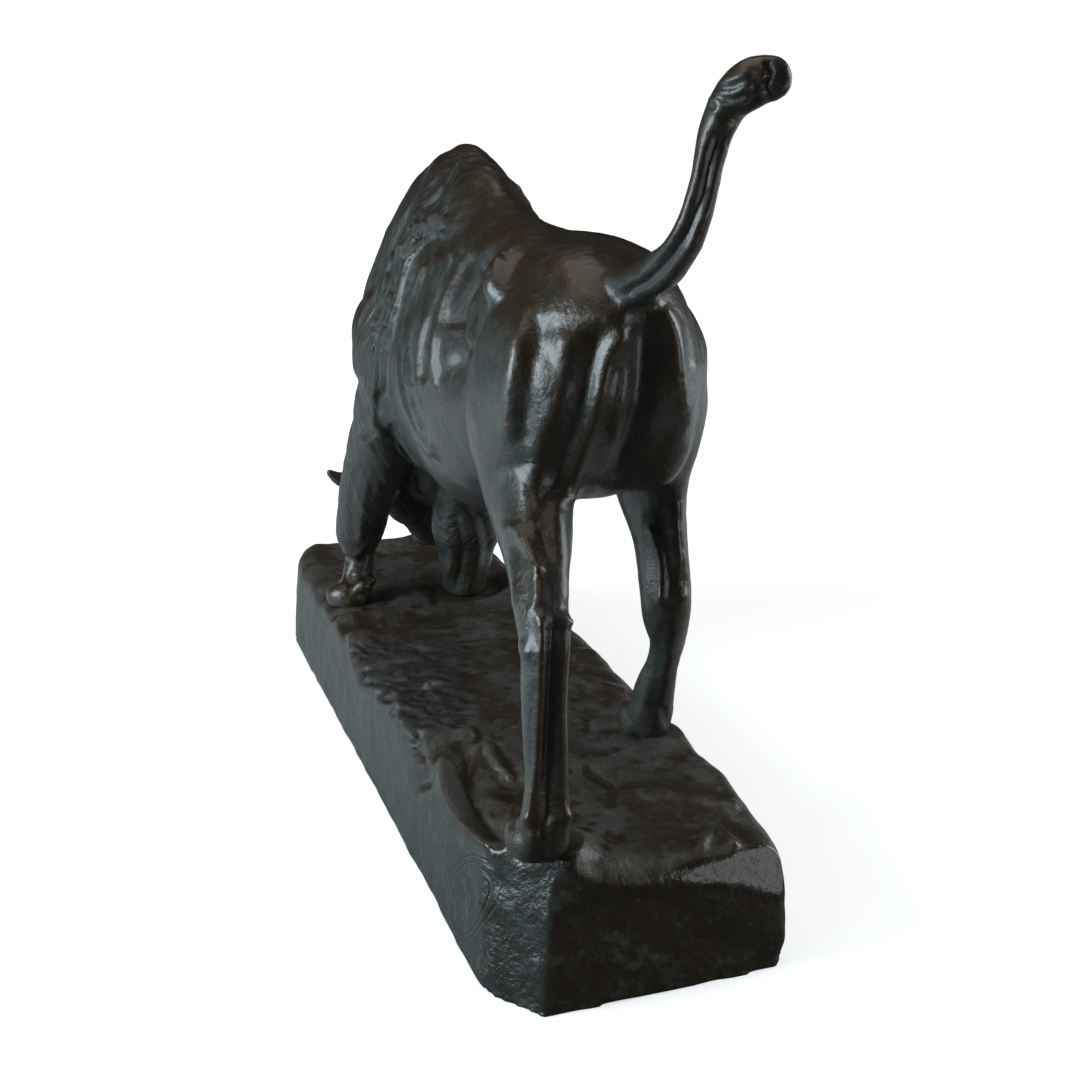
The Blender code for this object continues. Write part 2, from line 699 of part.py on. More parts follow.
def make_plinth(collection):
    """Sections along X: foot, leaning walls, rounded edges and the rocky top between them."""
    rear, front, left_side, right_side = stance()
    share = np.linspace(0, 1, PLINTH_ROWS)
    share = 0.5 - 0.5 * np.cos(np.pi * (END_SPACING + (1 - 2 * END_SPACING) * share))
    share = (share - share[0]) / (share[-1] - share[0])
    x = (rear - REAR_MARGIN + (front + FRONT_MARGIN - rear + REAR_MARGIN) * share)[:, None]
    left, right = plinth_outline(x)
    lean = WALL_LEAN
    top_left, top_right = left - lean, right + lean
    across = np.linspace(1, 0, PLINTH_COLUMNS)[None]
    across = 0.5 - 0.5 * np.cos(np.pi * across)
    y = top_right + (top_left - top_right) * across
    end = np.minimum(x - x[0], x[-1] - x)
    edge = np.minimum(np.minimum(top_left - y, y - top_right), end)
    edge = np.clip(edge / EDGE_ROUND, 0, 1)
    z = ground(x, y) - EDGE_ROUND * EDGE_DROP * (1 - np.sqrt(1 - (1 - edge) ** 2))
    wall = np.array(WALL_LEVELS)
    wall_left = left - lean * wall
    wall_right = right + lean * wall[::-1]
    foot = np.stack([
        np.hstack([x + 0 * wall_left, x + 0 * y, x + 0 * wall_right]),
        np.hstack([wall_left, y, wall_right]),
        np.hstack([z[:, :1] * wall, z, z[:, -1:] * wall[::-1]]),
    ], axis=2)
    from_rear = np.clip((foot[..., 0] - x[0]) / (2 * REAR_CORNER), 0, 1)
    foot[..., 0] += REAR_LEAN * (1 - from_rear) * foot[..., 2] / PLINTH_HEIGHT
    ends = (rear - REAR_MARGIN, front + FRONT_MARGIN)
    sides = (right_side - RIGHT_MARGIN, left_side + LEFT_MARGIN)
    points, faces = skin(hewn(foot, (ends, sides)))
    mesh = bpy.data.meshes.new("plinth")
    mesh.from_pydata(points.tolist(), [], faces)
    builder = bmesh.new()
    builder.from_mesh(mesh)
    bmesh.ops.recalc_face_normals(builder, faces=builder.faces)
    builder.to_mesh(mesh)
    builder.free()
    mesh.materials.append(bronze("plinth bronze", (0.085, 0.086, 0.072), 0.42))
    plinth = bpy.data.objects.new("plinth", mesh)
    collection.objects.link(plinth)
    return plinth


def make_stand(collection, pieces):
    """Empty that carries all the pieces and puts the middle of the plinth's foot at the origin."""
    rear, front, left, right = stance()
    middle_x = 0.5 * (rear - REAR_MARGIN + front + FRONT_MARGIN)
    middle_y = 0.5 * (left + LEFT_MARGIN + right - RIGHT_MARGIN)
    stand = bpy.data.objects.new("stand", None)
    stand.location = (-middle_x, -middle_y, 0)
    collection.objects.link(stand)
    for piece in pieces:
        piece.parent = stand


def main():
    clear_scene()
    parts = make_collection("bison bull on a plinth")
    cutters = make_collection("cutters")
    soles = [sole_cutter(name + " sole cutter", place, cutters) for name, place in HOOVES.items()]
    bison = make_bison(parts, soles)
    plinth = make_plinth(parts)
    make_stand(parts, [bison, plinth, *soles])


main()
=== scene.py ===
# %% [markdown]
# # A bronze bison bull, cast together with its rocky ground
#
# The real piece is a small table bronze of the lost-wax kind: a bison bull stands with its head
# low and its tail up, on a long block of modelled rock. It was built up in wax or clay, carved
# with tools, cast hollow, chased, and then coloured with acids and heat to a dark green-brown
# skin, which was waxed and rubbed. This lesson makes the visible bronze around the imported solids:
# the same figure at about one millimetre of fineness, with its hair, ribs, tendons and tool marks.

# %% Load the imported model
import math
from functools import partial

import bmesh
import bpy
import numpy as np
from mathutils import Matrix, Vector


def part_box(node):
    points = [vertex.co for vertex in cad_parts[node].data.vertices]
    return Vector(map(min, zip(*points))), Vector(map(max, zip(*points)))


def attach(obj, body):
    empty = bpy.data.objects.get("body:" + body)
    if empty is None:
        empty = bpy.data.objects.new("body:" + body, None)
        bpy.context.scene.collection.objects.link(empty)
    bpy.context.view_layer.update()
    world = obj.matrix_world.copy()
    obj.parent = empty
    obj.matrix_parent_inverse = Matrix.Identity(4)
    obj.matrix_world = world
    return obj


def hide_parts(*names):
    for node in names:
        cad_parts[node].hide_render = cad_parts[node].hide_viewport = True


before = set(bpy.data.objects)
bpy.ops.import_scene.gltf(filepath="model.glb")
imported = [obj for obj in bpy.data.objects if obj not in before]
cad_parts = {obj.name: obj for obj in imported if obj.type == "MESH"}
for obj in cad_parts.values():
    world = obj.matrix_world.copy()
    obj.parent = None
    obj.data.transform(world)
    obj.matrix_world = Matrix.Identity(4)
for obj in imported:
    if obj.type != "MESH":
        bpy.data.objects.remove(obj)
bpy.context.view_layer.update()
plinth_low, plinth_high = (np.array(corner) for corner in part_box("plinth"))

# %% [markdown]
# ## Units and places
#
# The sculptor's own measure is handy here: every size of the figure is a millimetre of the real
# bronze, with heights counted from the mean ground that the hooves stand on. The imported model
# keeps the middle of the plinth's foot at the origin, so one shift puts both in the same place.

# %% Units and places
MILLIMETRE = 0.001
GROUND_LEVEL = 50.0
STAND_SHIFT = np.array((0.0, 5.0, 0.0))


def figure_from_metres(points):
    """Metres in the frame to millimetres of the figure, with heights above the mean ground."""
    return points / MILLIMETRE - STAND_SHIFT - (0, 0, GROUND_LEVEL)


def metres_from_figure(points):
    """The way back: millimetres of the figure to metres in the frame."""
    return (points + STAND_SHIFT + (0, 0, GROUND_LEVEL)) * MILLIMETRE


# %% [markdown]
# ## The camera
#
# The photograph looks down on the bison from behind and from its left, from about 65 cm away.
# Its camera was found by matching the plinth's corners and the hooves: the focal length is given
# in pixels of the 1080-pixel picture, as surveyors of photographs do, and turned into a lens. The
# same numbers are used again further down, where folds are carved along lines seen in the picture.

# %% The camera
PHOTO_PIXELS = 1080.0
FOCAL_PIXELS = 1600.0
SENSOR_WIDTH = 36.0
CAMERA_PITCH = 0.316136
CAMERA_YAW = -0.331300
CAMERA_PLACE = np.array((-652.985, 192.944, 278.444))
LOOK = np.array((
    math.cos(CAMERA_YAW) * math.cos(CAMERA_PITCH),
    math.sin(CAMERA_YAW) * math.cos(CAMERA_PITCH),
    -math.sin(CAMERA_PITCH),
))

camera_data = bpy.data.cameras.new("photo camera")
camera_data.sensor_width = SENSOR_WIDTH
camera_data.lens = FOCAL_PIXELS / PHOTO_PIXELS * SENSOR_WIDTH
camera_data.clip_start = 0.01
camera = bpy.data.objects.new("photo camera", camera_data)
camera.location = metres_from_figure(CAMERA_PLACE)
camera.rotation_mode = "QUATERNION"
camera.rotation_quaternion = Vector(LOOK).to_track_quat("-Z", "Y")
bpy.context.scene.collection.objects.link(camera)
bpy.context.scene.camera = camera


def photo_pixels(points):
    """Where figure points fall in the photograph, in pixels from its upper left corner, and how
    far in front of the camera they are: the offset across and down, over the distance ahead."""
    right = np.cross(LOOK, (0, 0, 1))
    right /= np.linalg.norm(right)
    down = np.cross(LOOK, right)
    away = points - CAMERA_PLACE
    ahead = away @ LOOK
    across = FOCAL_PIXELS * (away @ right) / ahead + 0.5 * PHOTO_PIXELS
    below = FOCAL_PIXELS * (away @ down) / ahead + 0.5 * PHOTO_PIXELS
    return np.stack([across, below], axis=1), ahead


print("lens", round(camera_data.lens, 3), "mm, camera at", np.round(camera.location, 3))

# %% [markdown]
# ## Curves and skins
#
# A modeller in clay starts with rolled strands and pressed lumps. Each of them here is a surface
# of two parameters: one runs along a path, the other around it. A smooth path through a few
# measured places is a Catmull-Rom curve, because it passes through every one of them. The grid of
# points is worked out as one array, and its quads are numbered by arithmetic, not point by point.

# %% Curves and skins
def smooth_rows(rows, steps):
    """Catmull-Rom curve through the rows, all of their columns at once: between two rows it is
    the cubic whose slopes at both ends run parallel to the neighbours' chord."""
    rows = np.asarray(rows, float)
    ends = np.vstack([2 * rows[0] - rows[1], rows, 2 * rows[-1] - rows[-2]])
    before, here, after, beyond = ends[:-3], ends[1:-2], ends[2:-1], ends[3:]
    share = np.linspace(0, 1, steps, endpoint=False)[:, None, None]
    curve = 0.5 * (
        2 * here
        + (after - before) * share
        + (2 * before - 5 * here + 4 * after - beyond) * share ** 2
        + (3 * here - before - 3 * after + beyond) * share ** 3
    )
    curve = curve.transpose(1, 0, 2).reshape(-1, rows.shape[1])
    return np.vstack([curve, rows[-1:]])


def skin(rings):
    """Closed surface over rings of points: quads between neighbouring rings, and a fan of
    triangles to the middle of the first ring and of the last."""
    count, around = rings.shape[:2]
    points = np.vstack([rings.reshape(-1, 3), rings[0].mean(0), rings[-1].mean(0)])
    corner = np.arange(around)
    beside = (corner + 1) % around
    low = np.arange(count - 1)[:, None] * around
    quads = np.stack([low + corner, low + beside, low + around + beside, low + around + corner], 2)
    top = (count - 1) * around
    first = np.stack([corner * 0 + count * around, beside, corner], 1)
    last = np.stack([corner * 0 + count * around + 1, top + corner, top + beside], 1)
    return points, quads.reshape(-1, 4).tolist() + first.tolist() + last.tolist()


# %% [markdown]
# A leg, the tail or a horn is an oval tube with rounded ends. The torso needs more than an oval:
# a bison is sharp along the back and full in the belly, so each of its sections is a
# superellipse with its own squareness above and below the widest place. Muscles are egg shapes.

# %% Limb, torso and lump
def limb(rows, across=(0, 1, 0), steps=6, around=28):
    """Oval tube: the centre plus side times the cosine and fore times the sine of the turn, each
    with its own radius, and with ends that close like half an egg."""
    curve = smooth_rows(rows, steps)
    centre, radius = curve[:, :3], curve[:, 3:5]
    heading = np.gradient(centre, axis=0)
    heading /= np.linalg.norm(heading, axis=1)[:, None]
    lift = np.array((0.35, 0.7, 0.92, 1.0))
    reach = np.sqrt(1 - lift[:-1] ** 2)
    head = centre[0] - heading[0] * radius[0].min() * reach[:, None]
    tail = centre[-1] + heading[-1] * radius[-1].min() * reach[::-1, None]
    centre = np.vstack([head, centre, tail])
    heading = np.vstack([np.repeat(heading[:1], 3, 0), heading, np.repeat(heading[-1:], 3, 0)])
    radius = np.vstack([radius[0] * lift[:-1, None], radius, radius[-1] * lift[-2::-1, None]])
    side = np.asarray(across, float) - heading * (heading @ np.asarray(across, float))[:, None]
    side /= np.linalg.norm(side, axis=1)[:, None]
    fore = np.cross(heading, side)
    turn = np.linspace(0, 2 * np.pi, around, endpoint=False)
    return skin(
        centre[:, None]
        + side[:, None] * (radius[:, 0, None] * np.cos(turn))[..., None]
        + fore[:, None] * (radius[:, 1, None] * np.sin(turn))[..., None]
    )


def torso(rows, steps=8, around=64):
    """Upright sections, y = half width times cosine and z = reach times sine of the turn, both
    raised to two over the squareness."""
    x, middle, top, bottom, half, share, above, below = smooth_rows(rows, steps).T[:, :, None]
    turn = np.linspace(0, 2 * np.pi, around, endpoint=False)
    cosine, sine = np.cos(turn), np.sin(turn)
    widest = bottom + (top - bottom) * share
    square = np.where(sine > 0, above, below)
    reach = np.where(sine > 0, top - widest, widest - bottom)
    y = middle + half * np.sign(cosine) * np.abs(cosine) ** (2 / square)
    z = widest + reach * np.sign(sine) * np.abs(sine) ** (2 / square)
    return skin(np.stack([x + 0 * y, y, z], axis=2))


def lump(middle, sizes, heading, rings=18, around=26):
    """Egg shape: the sphere of two angles, stretched along the heading and across it."""
    along = np.asarray(heading, float) / np.linalg.norm(heading)
    side = np.array((0, 1, 0)) - along * along[1]
    side /= np.linalg.norm(side)
    axes = np.array((along, side, np.cross(along, side)))
    rise = np.linspace(-0.5 * np.pi, 0.5 * np.pi, rings + 2)[1:-1, None]
    turn = np.linspace(0, 2 * np.pi, around, endpoint=False)
    local = np.stack([
        np.sin(rise) + 0 * turn,
        np.cos(rise) * np.cos(turn),
        np.cos(rise) * np.sin(turn),
    ], axis=2)
    return skin(np.asarray(middle, float) + (local * np.asarray(sizes, float)) @ axes)


# %% [markdown]
# ## The bison's build
#
# The measures below are the sculpture's own, in millimetres. The torso runs from the buttocks at
# the rear (negative X) over the hump to the chest. Its sections stand slightly to the right of
# the plinth's middle, as the animal turns its head that way. The left hind leg is stretched far
# back, which is what makes the pose: all the weight leans into the lowered forehead.

# %% The torso's sections
# x, middle y, top z, bottom z, half width, height of the widest place as a share, squareness
# above it, squareness below it
TORSO = (
    (-171, -7, 190, 150, 16, .50, 2.0, 2.0),
    (-158, -7, 199, 128, 28, .50, 2.2, 2.1),
    (-138, -6.5, 204, 113, 34, .52, 2.4, 2.1),
    (-112, -5, 204, 108, 33, .52, 2.8, 2.0),
    (-88, -5, 205, 101, 32, .48, 2.1, 1.9),
    (-64, -5, 206.5, 90, 36, .42, 1.7, 1.9),
    (-38, -6, 210, 79, 40, .42, 1.5, 1.9),
    (-10, -7.5, 217, 72, 40.5, .42, 1.45, 1.9),
    (20, -9.5, 222, 68, 38.5, .42, 1.45, 1.9),
    (48, -10, 222, 66, 37, .44, 1.55, 1.9),
    (78, -9, 209, 66, 34, .46, 1.7, 1.9),
    (104, -8, 185, 66, 31, .46, 1.9, 1.9),
    (124, -8, 155, 64, 28, .46, 2.0, 2.0),
)

# %% [markdown]
# Neck and head hang from the hump as one wedge, almost to the ground, with the throat's mane
# below them and a beard at the chin. The horns are short and curve out and up.

# %% Head, mane, horns and tail
# Rows of x, y, z, sideways radius, fore-and-aft radius
NECK_AND_HEAD = (
    (95, -8, 146, 30, 33),
    (118, -9, 112, 29, 32),
    (136, -10, 84, 25, 28),
    (148, -12, 63, 21, 23),
    (155, -14, 46, 17.5, 18),
    (160, -17, 31, 13.5, 14.5),
    (162, -19.5, 18, 11.5, 12),
    (161, -20.5, 9.5, 9, 9.5),
)
THROAT_MANE = (
    (98, -2, 92, 24, 26),
    (118, -3, 66, 22, 22),
    (132, -8, 45, 19, 17),
    (144, -15, 25, 13, 12),
    (150, -21, 12, 8, 8),
)
BEARD = (
    (153, -18, 22, 8, 9),
    (150, -19, 13, 6, 6.5),
)
HORN = (
    (148, 8, 47, 6.5, 6.5),
    (149, 19, 44.5, 5.4, 5.4),
    (150, 28, 46, 4.0, 4.0),
    (150, 34, 50.5, 1.8, 1.8),
)
EAR = (
    (146, 5, 46, 3.5, 3.0),
    (143, 13, 41, 3.2, 2.4),
    (141, 18, 37, 1.6, 1.4),
)
TAIL = (
    (-148, -6, 186, 9, 9),
    (-166, -7, 194, 8.2, 8.2),
    (-183, -8, 201, 7.0, 7.0),
    (-196, -9, 208, 6.0, 6.0),
    (-203, -11, 218, 5.4, 5.4),
    (-205, -13.5, 230, 5.0, 5.0),
    (-205, -15.5, 241, 5.2, 5.2),
    (-206, -17.5, 249, 5.6, 5.8),
    (-208, -20.5, 256, 6.8, 6.6),
    (-212, -24.5, 260, 8.0, 7.4),
    (-215, -28.5, 261.5, 7.2, 6.8),
)
HEAD_MIDDLE = -12
HIP_MIDDLE = -5

# %% [markdown]
# The legs taper from heavy thighs and shoulders to thin cannon bones. A hoof is two toes side by
# side, with a dew claw over each heel. Each hoof has a heading of its own, because the animal
# braces itself and no two feet point the same way.

# %% Legs and hooves
LEFT_HIND = (
    (-137, 16, 167, 19, 30),
    (-128, 21, 143, 17, 32),
    (-133, 18.5, 121, 15.5, 28),
    (-157, 23.5, 106, 12, 19.5),
    (-177, 29, 95, 9.5, 13),
    (-187, 31.5, 83, 8.2, 11.5),
    (-190, 32.5, 72, 7.6, 9),
    (-192, 33, 50, 7.4, 7.2),
    (-194, 33, 32, 7.4, 7.2),
    (-195, 33.5, 21, 8.6, 8.8),
    (-193, 34, 12, 8.6, 9.2),
)
RIGHT_HIND = (
    (-130, -29, 167, 19, 31),
    (-121, -33.5, 148, 18, 32),
    (-116, -35.5, 116, 13, 26),
    (-124, -37, 92, 9.4, 16),
    (-130, -37, 74, 9.8, 12.5),
    (-128, -38.5, 61, 9.4, 11),
    (-122, -42, 49, 7.4, 8.4),
    (-117, -42.5, 38, 6.4, 7.2),
    (-111, -42.4, 26, 7.8, 8),
    (-107, -42.5, 15, 9.2, 9),
    (-104, -43, 8, 9.2, 9.4),
)
LEFT_FORE = (
    (72, 8, 146, 18, 28),
    (84, 14, 98, 16, 21),
    (96, 22, 66, 13, 17),
    (106, 26.5, 40, 10.5, 12.5),
    (108, 28, 27, 10, 11),
    (107, 28.5, 17, 7.6, 8.2),
    (106, 30, 8, 7.8, 8.2),
    (103, 32, 2, 8.5, 9),
)
RIGHT_FORE = (
    (68, -24, 146, 18, 26),
    (76, -25, 100, 18, 21),
    (84, -25, 68, 16, 17),
    (91, -24, 40, 15.5, 14),
    (94, -24, 22, 15, 12.5),
    (96, -24, 10, 13, 12),
    (97, -24, 2, 11, 11.5),
)
# Hooves: middle x, middle y, ground height, heading in degrees from +X towards +Y
HOOVES = {
    "left hind": (-190, 35, 7, 4),
    "right hind": (-99, -43, 2, -6),
    "left fore": (101, 36, -5, 55),
    "right fore": (101, -24, -5, -6),
}
HOOF_LENGTH = 20.0
HOOF_WIDTH = 21.0
HOOF_RISE = 12.0
TOE_SIZES = np.array((0.52, 0.29, 0.62))
TOE_ASIDE = 0.23
TOE_LIFT = 0.38
DEW_CLAW = (4.2, 3.0, 3.2)
CLAW_BACK = 0.46
CLAW_LIFT = 0.95


def hoof(place):
    """Two toes side by side, and a dew claw over each heel."""
    x, y, ground, degrees = place
    heading = np.array((math.cos(math.radians(degrees)), math.sin(math.radians(degrees)), 0))
    side = np.array((-heading[1], heading[0], 0)) * HOOF_WIDTH
    up = np.array((0, 0, HOOF_RISE))
    middle = np.array((x, y, ground))
    shapes = []
    for hand in (-1, 1):
        toe = middle + side * hand * TOE_ASIDE + up * TOE_LIFT
        shapes.append(lump(toe, TOE_SIZES * (HOOF_LENGTH, HOOF_WIDTH, HOOF_RISE), heading))
        claw = middle + side * hand * TOE_ASIDE - heading * HOOF_LENGTH * CLAW_BACK
        shapes.append(lump(claw + up * CLAW_LIFT, DEW_CLAW, heading))
    return shapes


# %% [markdown]
# Muscle and bone come last, as in clay: shoulders, buttocks, brows, muzzle and the crest of the
# pelvis, which stands out sharply on a lean bull.

# %% Muscles and bones
# Middle, half sizes along, across and third, and heading
LUMPS = (
    ((68, 17, 126), (34, 17, 26), (0.35, 0, 1)),
    ((68, -32, 126), (34, 17, 26), (0.35, 0, 1)),
    ((-149, 12, 150), (33, 13, 18), (-0.15, 0, 1)),
    ((-149, -25, 150), (33, 13, 18), (-0.15, 0, 1)),
    ((100, -12, 64), (20, 17, 19), (0, 0, 1)),
    ((149, -10, 80), (22, 24, 18), (0, 0, 1)),
    ((160, -4, 38), (6, 4.5, 5), (0, 0, 1)),
    ((160, -26, 38), (6, 4.5, 5), (0, 0, 1)),
    ((166, -20, 15), (8.5, 10, 7), (0, 0, 1)),
    ((-84, -9, 104), (13, 8, 7), (1, 0, 0.2)),
)
# Crest of the pelvis, from the point of the hip in to the spine
HIP_CREST = (
    (-119, 25.5, 187, 6, 6.5),
    (-114, 22.5, 192.5, 5.5, 7),
    (-105, 11, 197, 4.5, 7.5),
    (-98, -5, 198.5, 4, 7),
)


def mirrored(rows, middle):
    """The same rows on the other side of an upright plane along X."""
    return [(row[0], 2 * middle - row[1], *row[2:]) for row in rows]


def bison_shapes():
    """Every strand and lump of the figure, each a closed skin of its own."""
    shapes = [torso(TORSO)]
    upright = (NECK_AND_HEAD, THROAT_MANE, BEARD, TAIL, LEFT_HIND, RIGHT_HIND, LEFT_FORE, RIGHT_FORE)
    shapes.extend(limb(rows) for rows in upright)
    for rows in (HORN, EAR, mirrored(HORN, HEAD_MIDDLE), mirrored(EAR, HEAD_MIDDLE),
                 HIP_CREST, mirrored(HIP_CREST, HIP_MIDDLE)):
        shapes.append(limb(rows, across=(1, 0, 0)))
    for place in HOOVES.values():
        shapes.extend(hoof(place))
    shapes.extend(lump(*row) for row in LUMPS)
    return shapes


print(len(bison_shapes()), "strands and lumps")

# %% [markdown]
# ## One skin
#
# The strands overlap like pressed clay. A voxel remesh turns them into one watertight skin with
# even quads, which a boolean union would not: its quads would be long and thin, and they could
# not be carved. The remesh leaves small steps, and easing takes them out: each point moves half
# way to the mean of its neighbours, a few dozen times, less where hooves and horns stay crisp.

# %% One skin
FINE_VOXEL = 0.00095
CAD_VOXEL = 0.0017
CAD_EASE_STEPS = 12


def new_mesh(name, points, faces):
    """Mesh in metres from figure points, its faces turned outwards."""
    mesh = bpy.data.meshes.new(name)
    mesh.from_pydata(metres_from_figure(points).tolist(), [], faces)
    builder = bmesh.new()
    builder.from_mesh(mesh)
    bmesh.ops.recalc_face_normals(builder, faces=builder.faces)
    builder.to_mesh(mesh)
    builder.free()
    return mesh


def with_modifier(mesh, kind, **values):
    """The mesh after one modifier, taken through a short-lived object."""
    item = bpy.data.objects.new("short-lived", mesh)
    bpy.context.scene.collection.objects.link(item)
    modifier = item.modifiers.new(kind, kind)
    for key, value in values.items():
        setattr(modifier, key, value)
    depsgraph = bpy.context.evaluated_depsgraph_get()
    result = bpy.data.meshes.new_from_object(item.evaluated_get(depsgraph))
    bpy.data.objects.remove(item, do_unlink=True)
    return result


def mesh_array(items, key, width, kind=np.float32):
    """One property of all vertices, edges or faces as an array."""
    values = np.empty(len(items) * width, kind)
    items.foreach_get(key, values)
    return values.reshape(-1, width)


def mesh_state(mesh):
    """Figure points, normals and edges of a mesh."""
    points = figure_from_metres(mesh_array(mesh.vertices, "co", 3).astype(float))
    normals = mesh_array(mesh.vertices, "normal", 3).astype(float)
    return points, normals, mesh_array(mesh.edges, "vertices", 2, np.int32)


def move_points(mesh, points):
    """Vertices put at new figure points."""
    mesh.vertices.foreach_set("co", metres_from_figure(points).astype(np.float32).ravel())
    mesh.update()


def neighbour_mean(values, edges):
    """Mean of each point's neighbours, for one or more columns of values."""
    first, second = edges.T
    count = len(values)
    share = np.bincount(first, minlength=count) + np.bincount(second, minlength=count)
    total = np.stack([
        np.bincount(first, column[second], count) + np.bincount(second, column[first], count)
        for column in values.T
    ], axis=1)
    return total / share[:, None]


def eased(values, edges, steps, weight=1.0):
    """Each point's values move a weighted half way to its neighbours' mean, step by step."""
    pull = 0.5 * np.broadcast_to(weight, len(values))[:, None]
    for _ in range(steps):
        values = values + (neighbour_mean(values, edges) - values) * pull
    return values


# %% [markdown]
# The number of easing steps grows with the square of the fineness, as heat spreads: that keeps
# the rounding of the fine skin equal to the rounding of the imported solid.

# %% Rounding
HOOVES_BELOW = HOOF_RISE + 2
TAIL_BEHIND = TAIL[2][0]
HORNS_BEYOND = HORN[0][1] - HEAD_MIDDLE - 3
HEAD_BEYOND = HORN[0][0] - HORN[0][3]
HORNS_UNDER = 60
RUMP_BEHIND = 90
RUMP_OVER = 100
RUMP_FADE = 20
RUMP_STEPS = 16
# Share of the easing on the hooves, the thin end of the tail and the horns
HOOF_EASE, TAIL_EASE, HORN_EASE = 0.25, 0.4, 0.2
TAIL_ROOT = (-164, -1, 192)
ROOT_REACH = 14.0
ROOT_STEPS = 260


def rising(values, start, run):
    """Nought up to the start, then in a smooth line to one over the run."""
    share = np.clip((values - start) / run, 0, 1)
    return share * share * (3 - 2 * share)


def on_horns(figure):
    """Which points lie on the horns, beyond the sides of the head."""
    aside = np.abs(figure[:, 1] - HEAD_MIDDLE)
    return (aside > HORNS_BEYOND) & (figure[:, 0] > HEAD_BEYOND) & (figure[:, 2] < HORNS_UNDER)


def rump_weight(figure):
    """More easing on the rump and the thighs, which are broad planes."""
    behind = rising(-figure[:, 0], RUMP_BEHIND, RUMP_FADE)
    return behind * rising(figure[:, 2], RUMP_OVER, RUMP_FADE) * (figure[:, 0] > TAIL_BEHIND)


def ease_weight(figure):
    """Full easing on the body, little on the hooves, the horns and the thin end of the tail."""
    weight = np.ones(len(figure))
    weight[figure[:, 2] < HOOVES_BELOW] = HOOF_EASE
    weight[figure[:, 0] < TAIL_BEHIND] = TAIL_EASE
    weight[on_horns(figure)] = HORN_EASE
    return weight


points, faces, start = [], [], 0
for shape_points, shape_faces in bison_shapes():
    points.append(shape_points)
    faces.extend([corner + start for corner in face] for face in shape_faces)
    start += len(shape_points)
rough = new_mesh("strands", np.vstack(points), faces)
bison_mesh = with_modifier(rough, "REMESH", mode="VOXEL", voxel_size=FINE_VOXEL)
points, normals, edges = mesh_state(bison_mesh)
finer = (CAD_VOXEL / FINE_VOXEL) ** 2
ease_steps = round(CAD_EASE_STEPS * finer)
points = eased(points, edges, ease_steps, ease_weight(points))
points = eased(points, edges, round(RUMP_STEPS * finer), rump_weight(points))
root = np.exp(-(np.linalg.norm(points - TAIL_ROOT, axis=1) / ROOT_REACH) ** 2)
points = eased(points, edges, ROOT_STEPS, root)
move_points(bison_mesh, points)
print(len(points), "points,", ease_steps, "easing steps")

# %% [markdown]
# ## Carving along lines
#
# A sculptor's loop or thumb leaves a furrow or pushes up a ridge along a line. The same happens
# here: a stroke has a rise in millimetres (hollows are below nought), a width and a path, and
# every point near the path moves along its normal by a bell curve of its distance to it. The
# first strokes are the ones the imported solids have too: they are laid from the side or from
# behind, so they need no more than a few places each.

# %% Strokes from the side and from behind
def nearness(points, path, away_from):
    """Distance of each point from a path: the least of the distances to its straight runs."""
    nearest = np.full(len(points), away_from)
    for start, end in zip(path[:-1], path[1:]):
        run = end - start
        share = np.clip((points - start) @ run / max(run @ run, 1e-9), 0, 1)
        away = np.linalg.norm(points - start - share[:, None] * run, axis=1)
        nearest = np.minimum(nearest, away)
    return nearest


def stroke_push(points, strokes, units=1.0, steps=5, reach=2.6):
    """Sum of the strokes' bell curves, rise times e to minus the squared distance over width.
    Units turn a distance into millimetres; points beyond the reach are left out of the sum."""
    push = np.zeros(len(points))
    units = np.broadcast_to(units, len(points))
    for rise, width, path in strokes:
        path = smooth_rows(path, steps) if len(path) > 1 else np.repeat(np.array(path, float), 2, 0)
        margin = reach * width / units.min()
        near = ((points > path.min(0) - margin) & (points < path.max(0) + margin)).all(1)
        away = nearness(points[near], path, margin) * units[near]
        push[near] += rise * np.exp(-(away / width) ** 2)
    return push


def side_push(figure, normals, strokes, view):
    """Strokes laid flat across the view along an axis, on the surface that faces it. Their
    paths are in the two other axes."""
    kept = [axis for axis in range(3) if view[axis] == 0]
    facing = np.sqrt(np.clip(normals @ np.asarray(view, float), 0, 1))
    return facing * stroke_push(figure[:, kept], strokes)


# Strokes on both flanks: rise, width, path of x and z
FLANK_STROKES = (
    (1.7, 3.2, ((-44, 188), (-46, 172), (-52, 156), (-58, 142))),
    (1.7, 3.2, ((-29, 186), (-31, 166), (-35, 150), (-42, 134))),
    (1.7, 3.2, ((-13, 184), (-12, 166), (-15, 150), (-25, 134), (-36, 121))),
    (1.9, 3.4, ((-2, 178), (6, 158), (3, 144), (-9, 130), (-26, 117), (-42, 111))),
    (-5.0, 9.5, ((-68, 188), (-66, 170), (-72, 154))),
    (-1.4, 6.0, ((-86, 176), (-92, 150), (-96, 126))),
    (-1.8, 5.0, ((52, 96), (66, 112), (84, 118))),
    (2.6, 5.0, ((62, 101), (66, 92), (73, 84))),
)
# Strokes seen from behind: rise, width, path of y and z
REAR_STROKES = (
    (-4.5, 6.0, ((-8, 184), (-8, 166), (-6, 150), (-6, 134), (-8, 116))),
    (2.2, 4.5, ((1, 180), (5, 168), (8, 156), (11, 142), (14, 126))),
    (2.2, 4.5, ((-17, 184), (-21, 172), (-24, 158), (-25, 142))),
    (-3.0, 5.0, ((12, 178), (14, 162), (20, 144), (22, 126))),
    (-2.6, 5.0, ((-28, 176), (-30, 160), (-33, 142))),
    (2.0, 4.5, ((23, 186), (28, 172), (32, 158), (33, 146))),
    (-2.0, 4.0, ((21, 182), (26, 168), (28, 154), (30, 140))),
    (-2.5, 4.0, ((4, 197), (2, 191))),
)
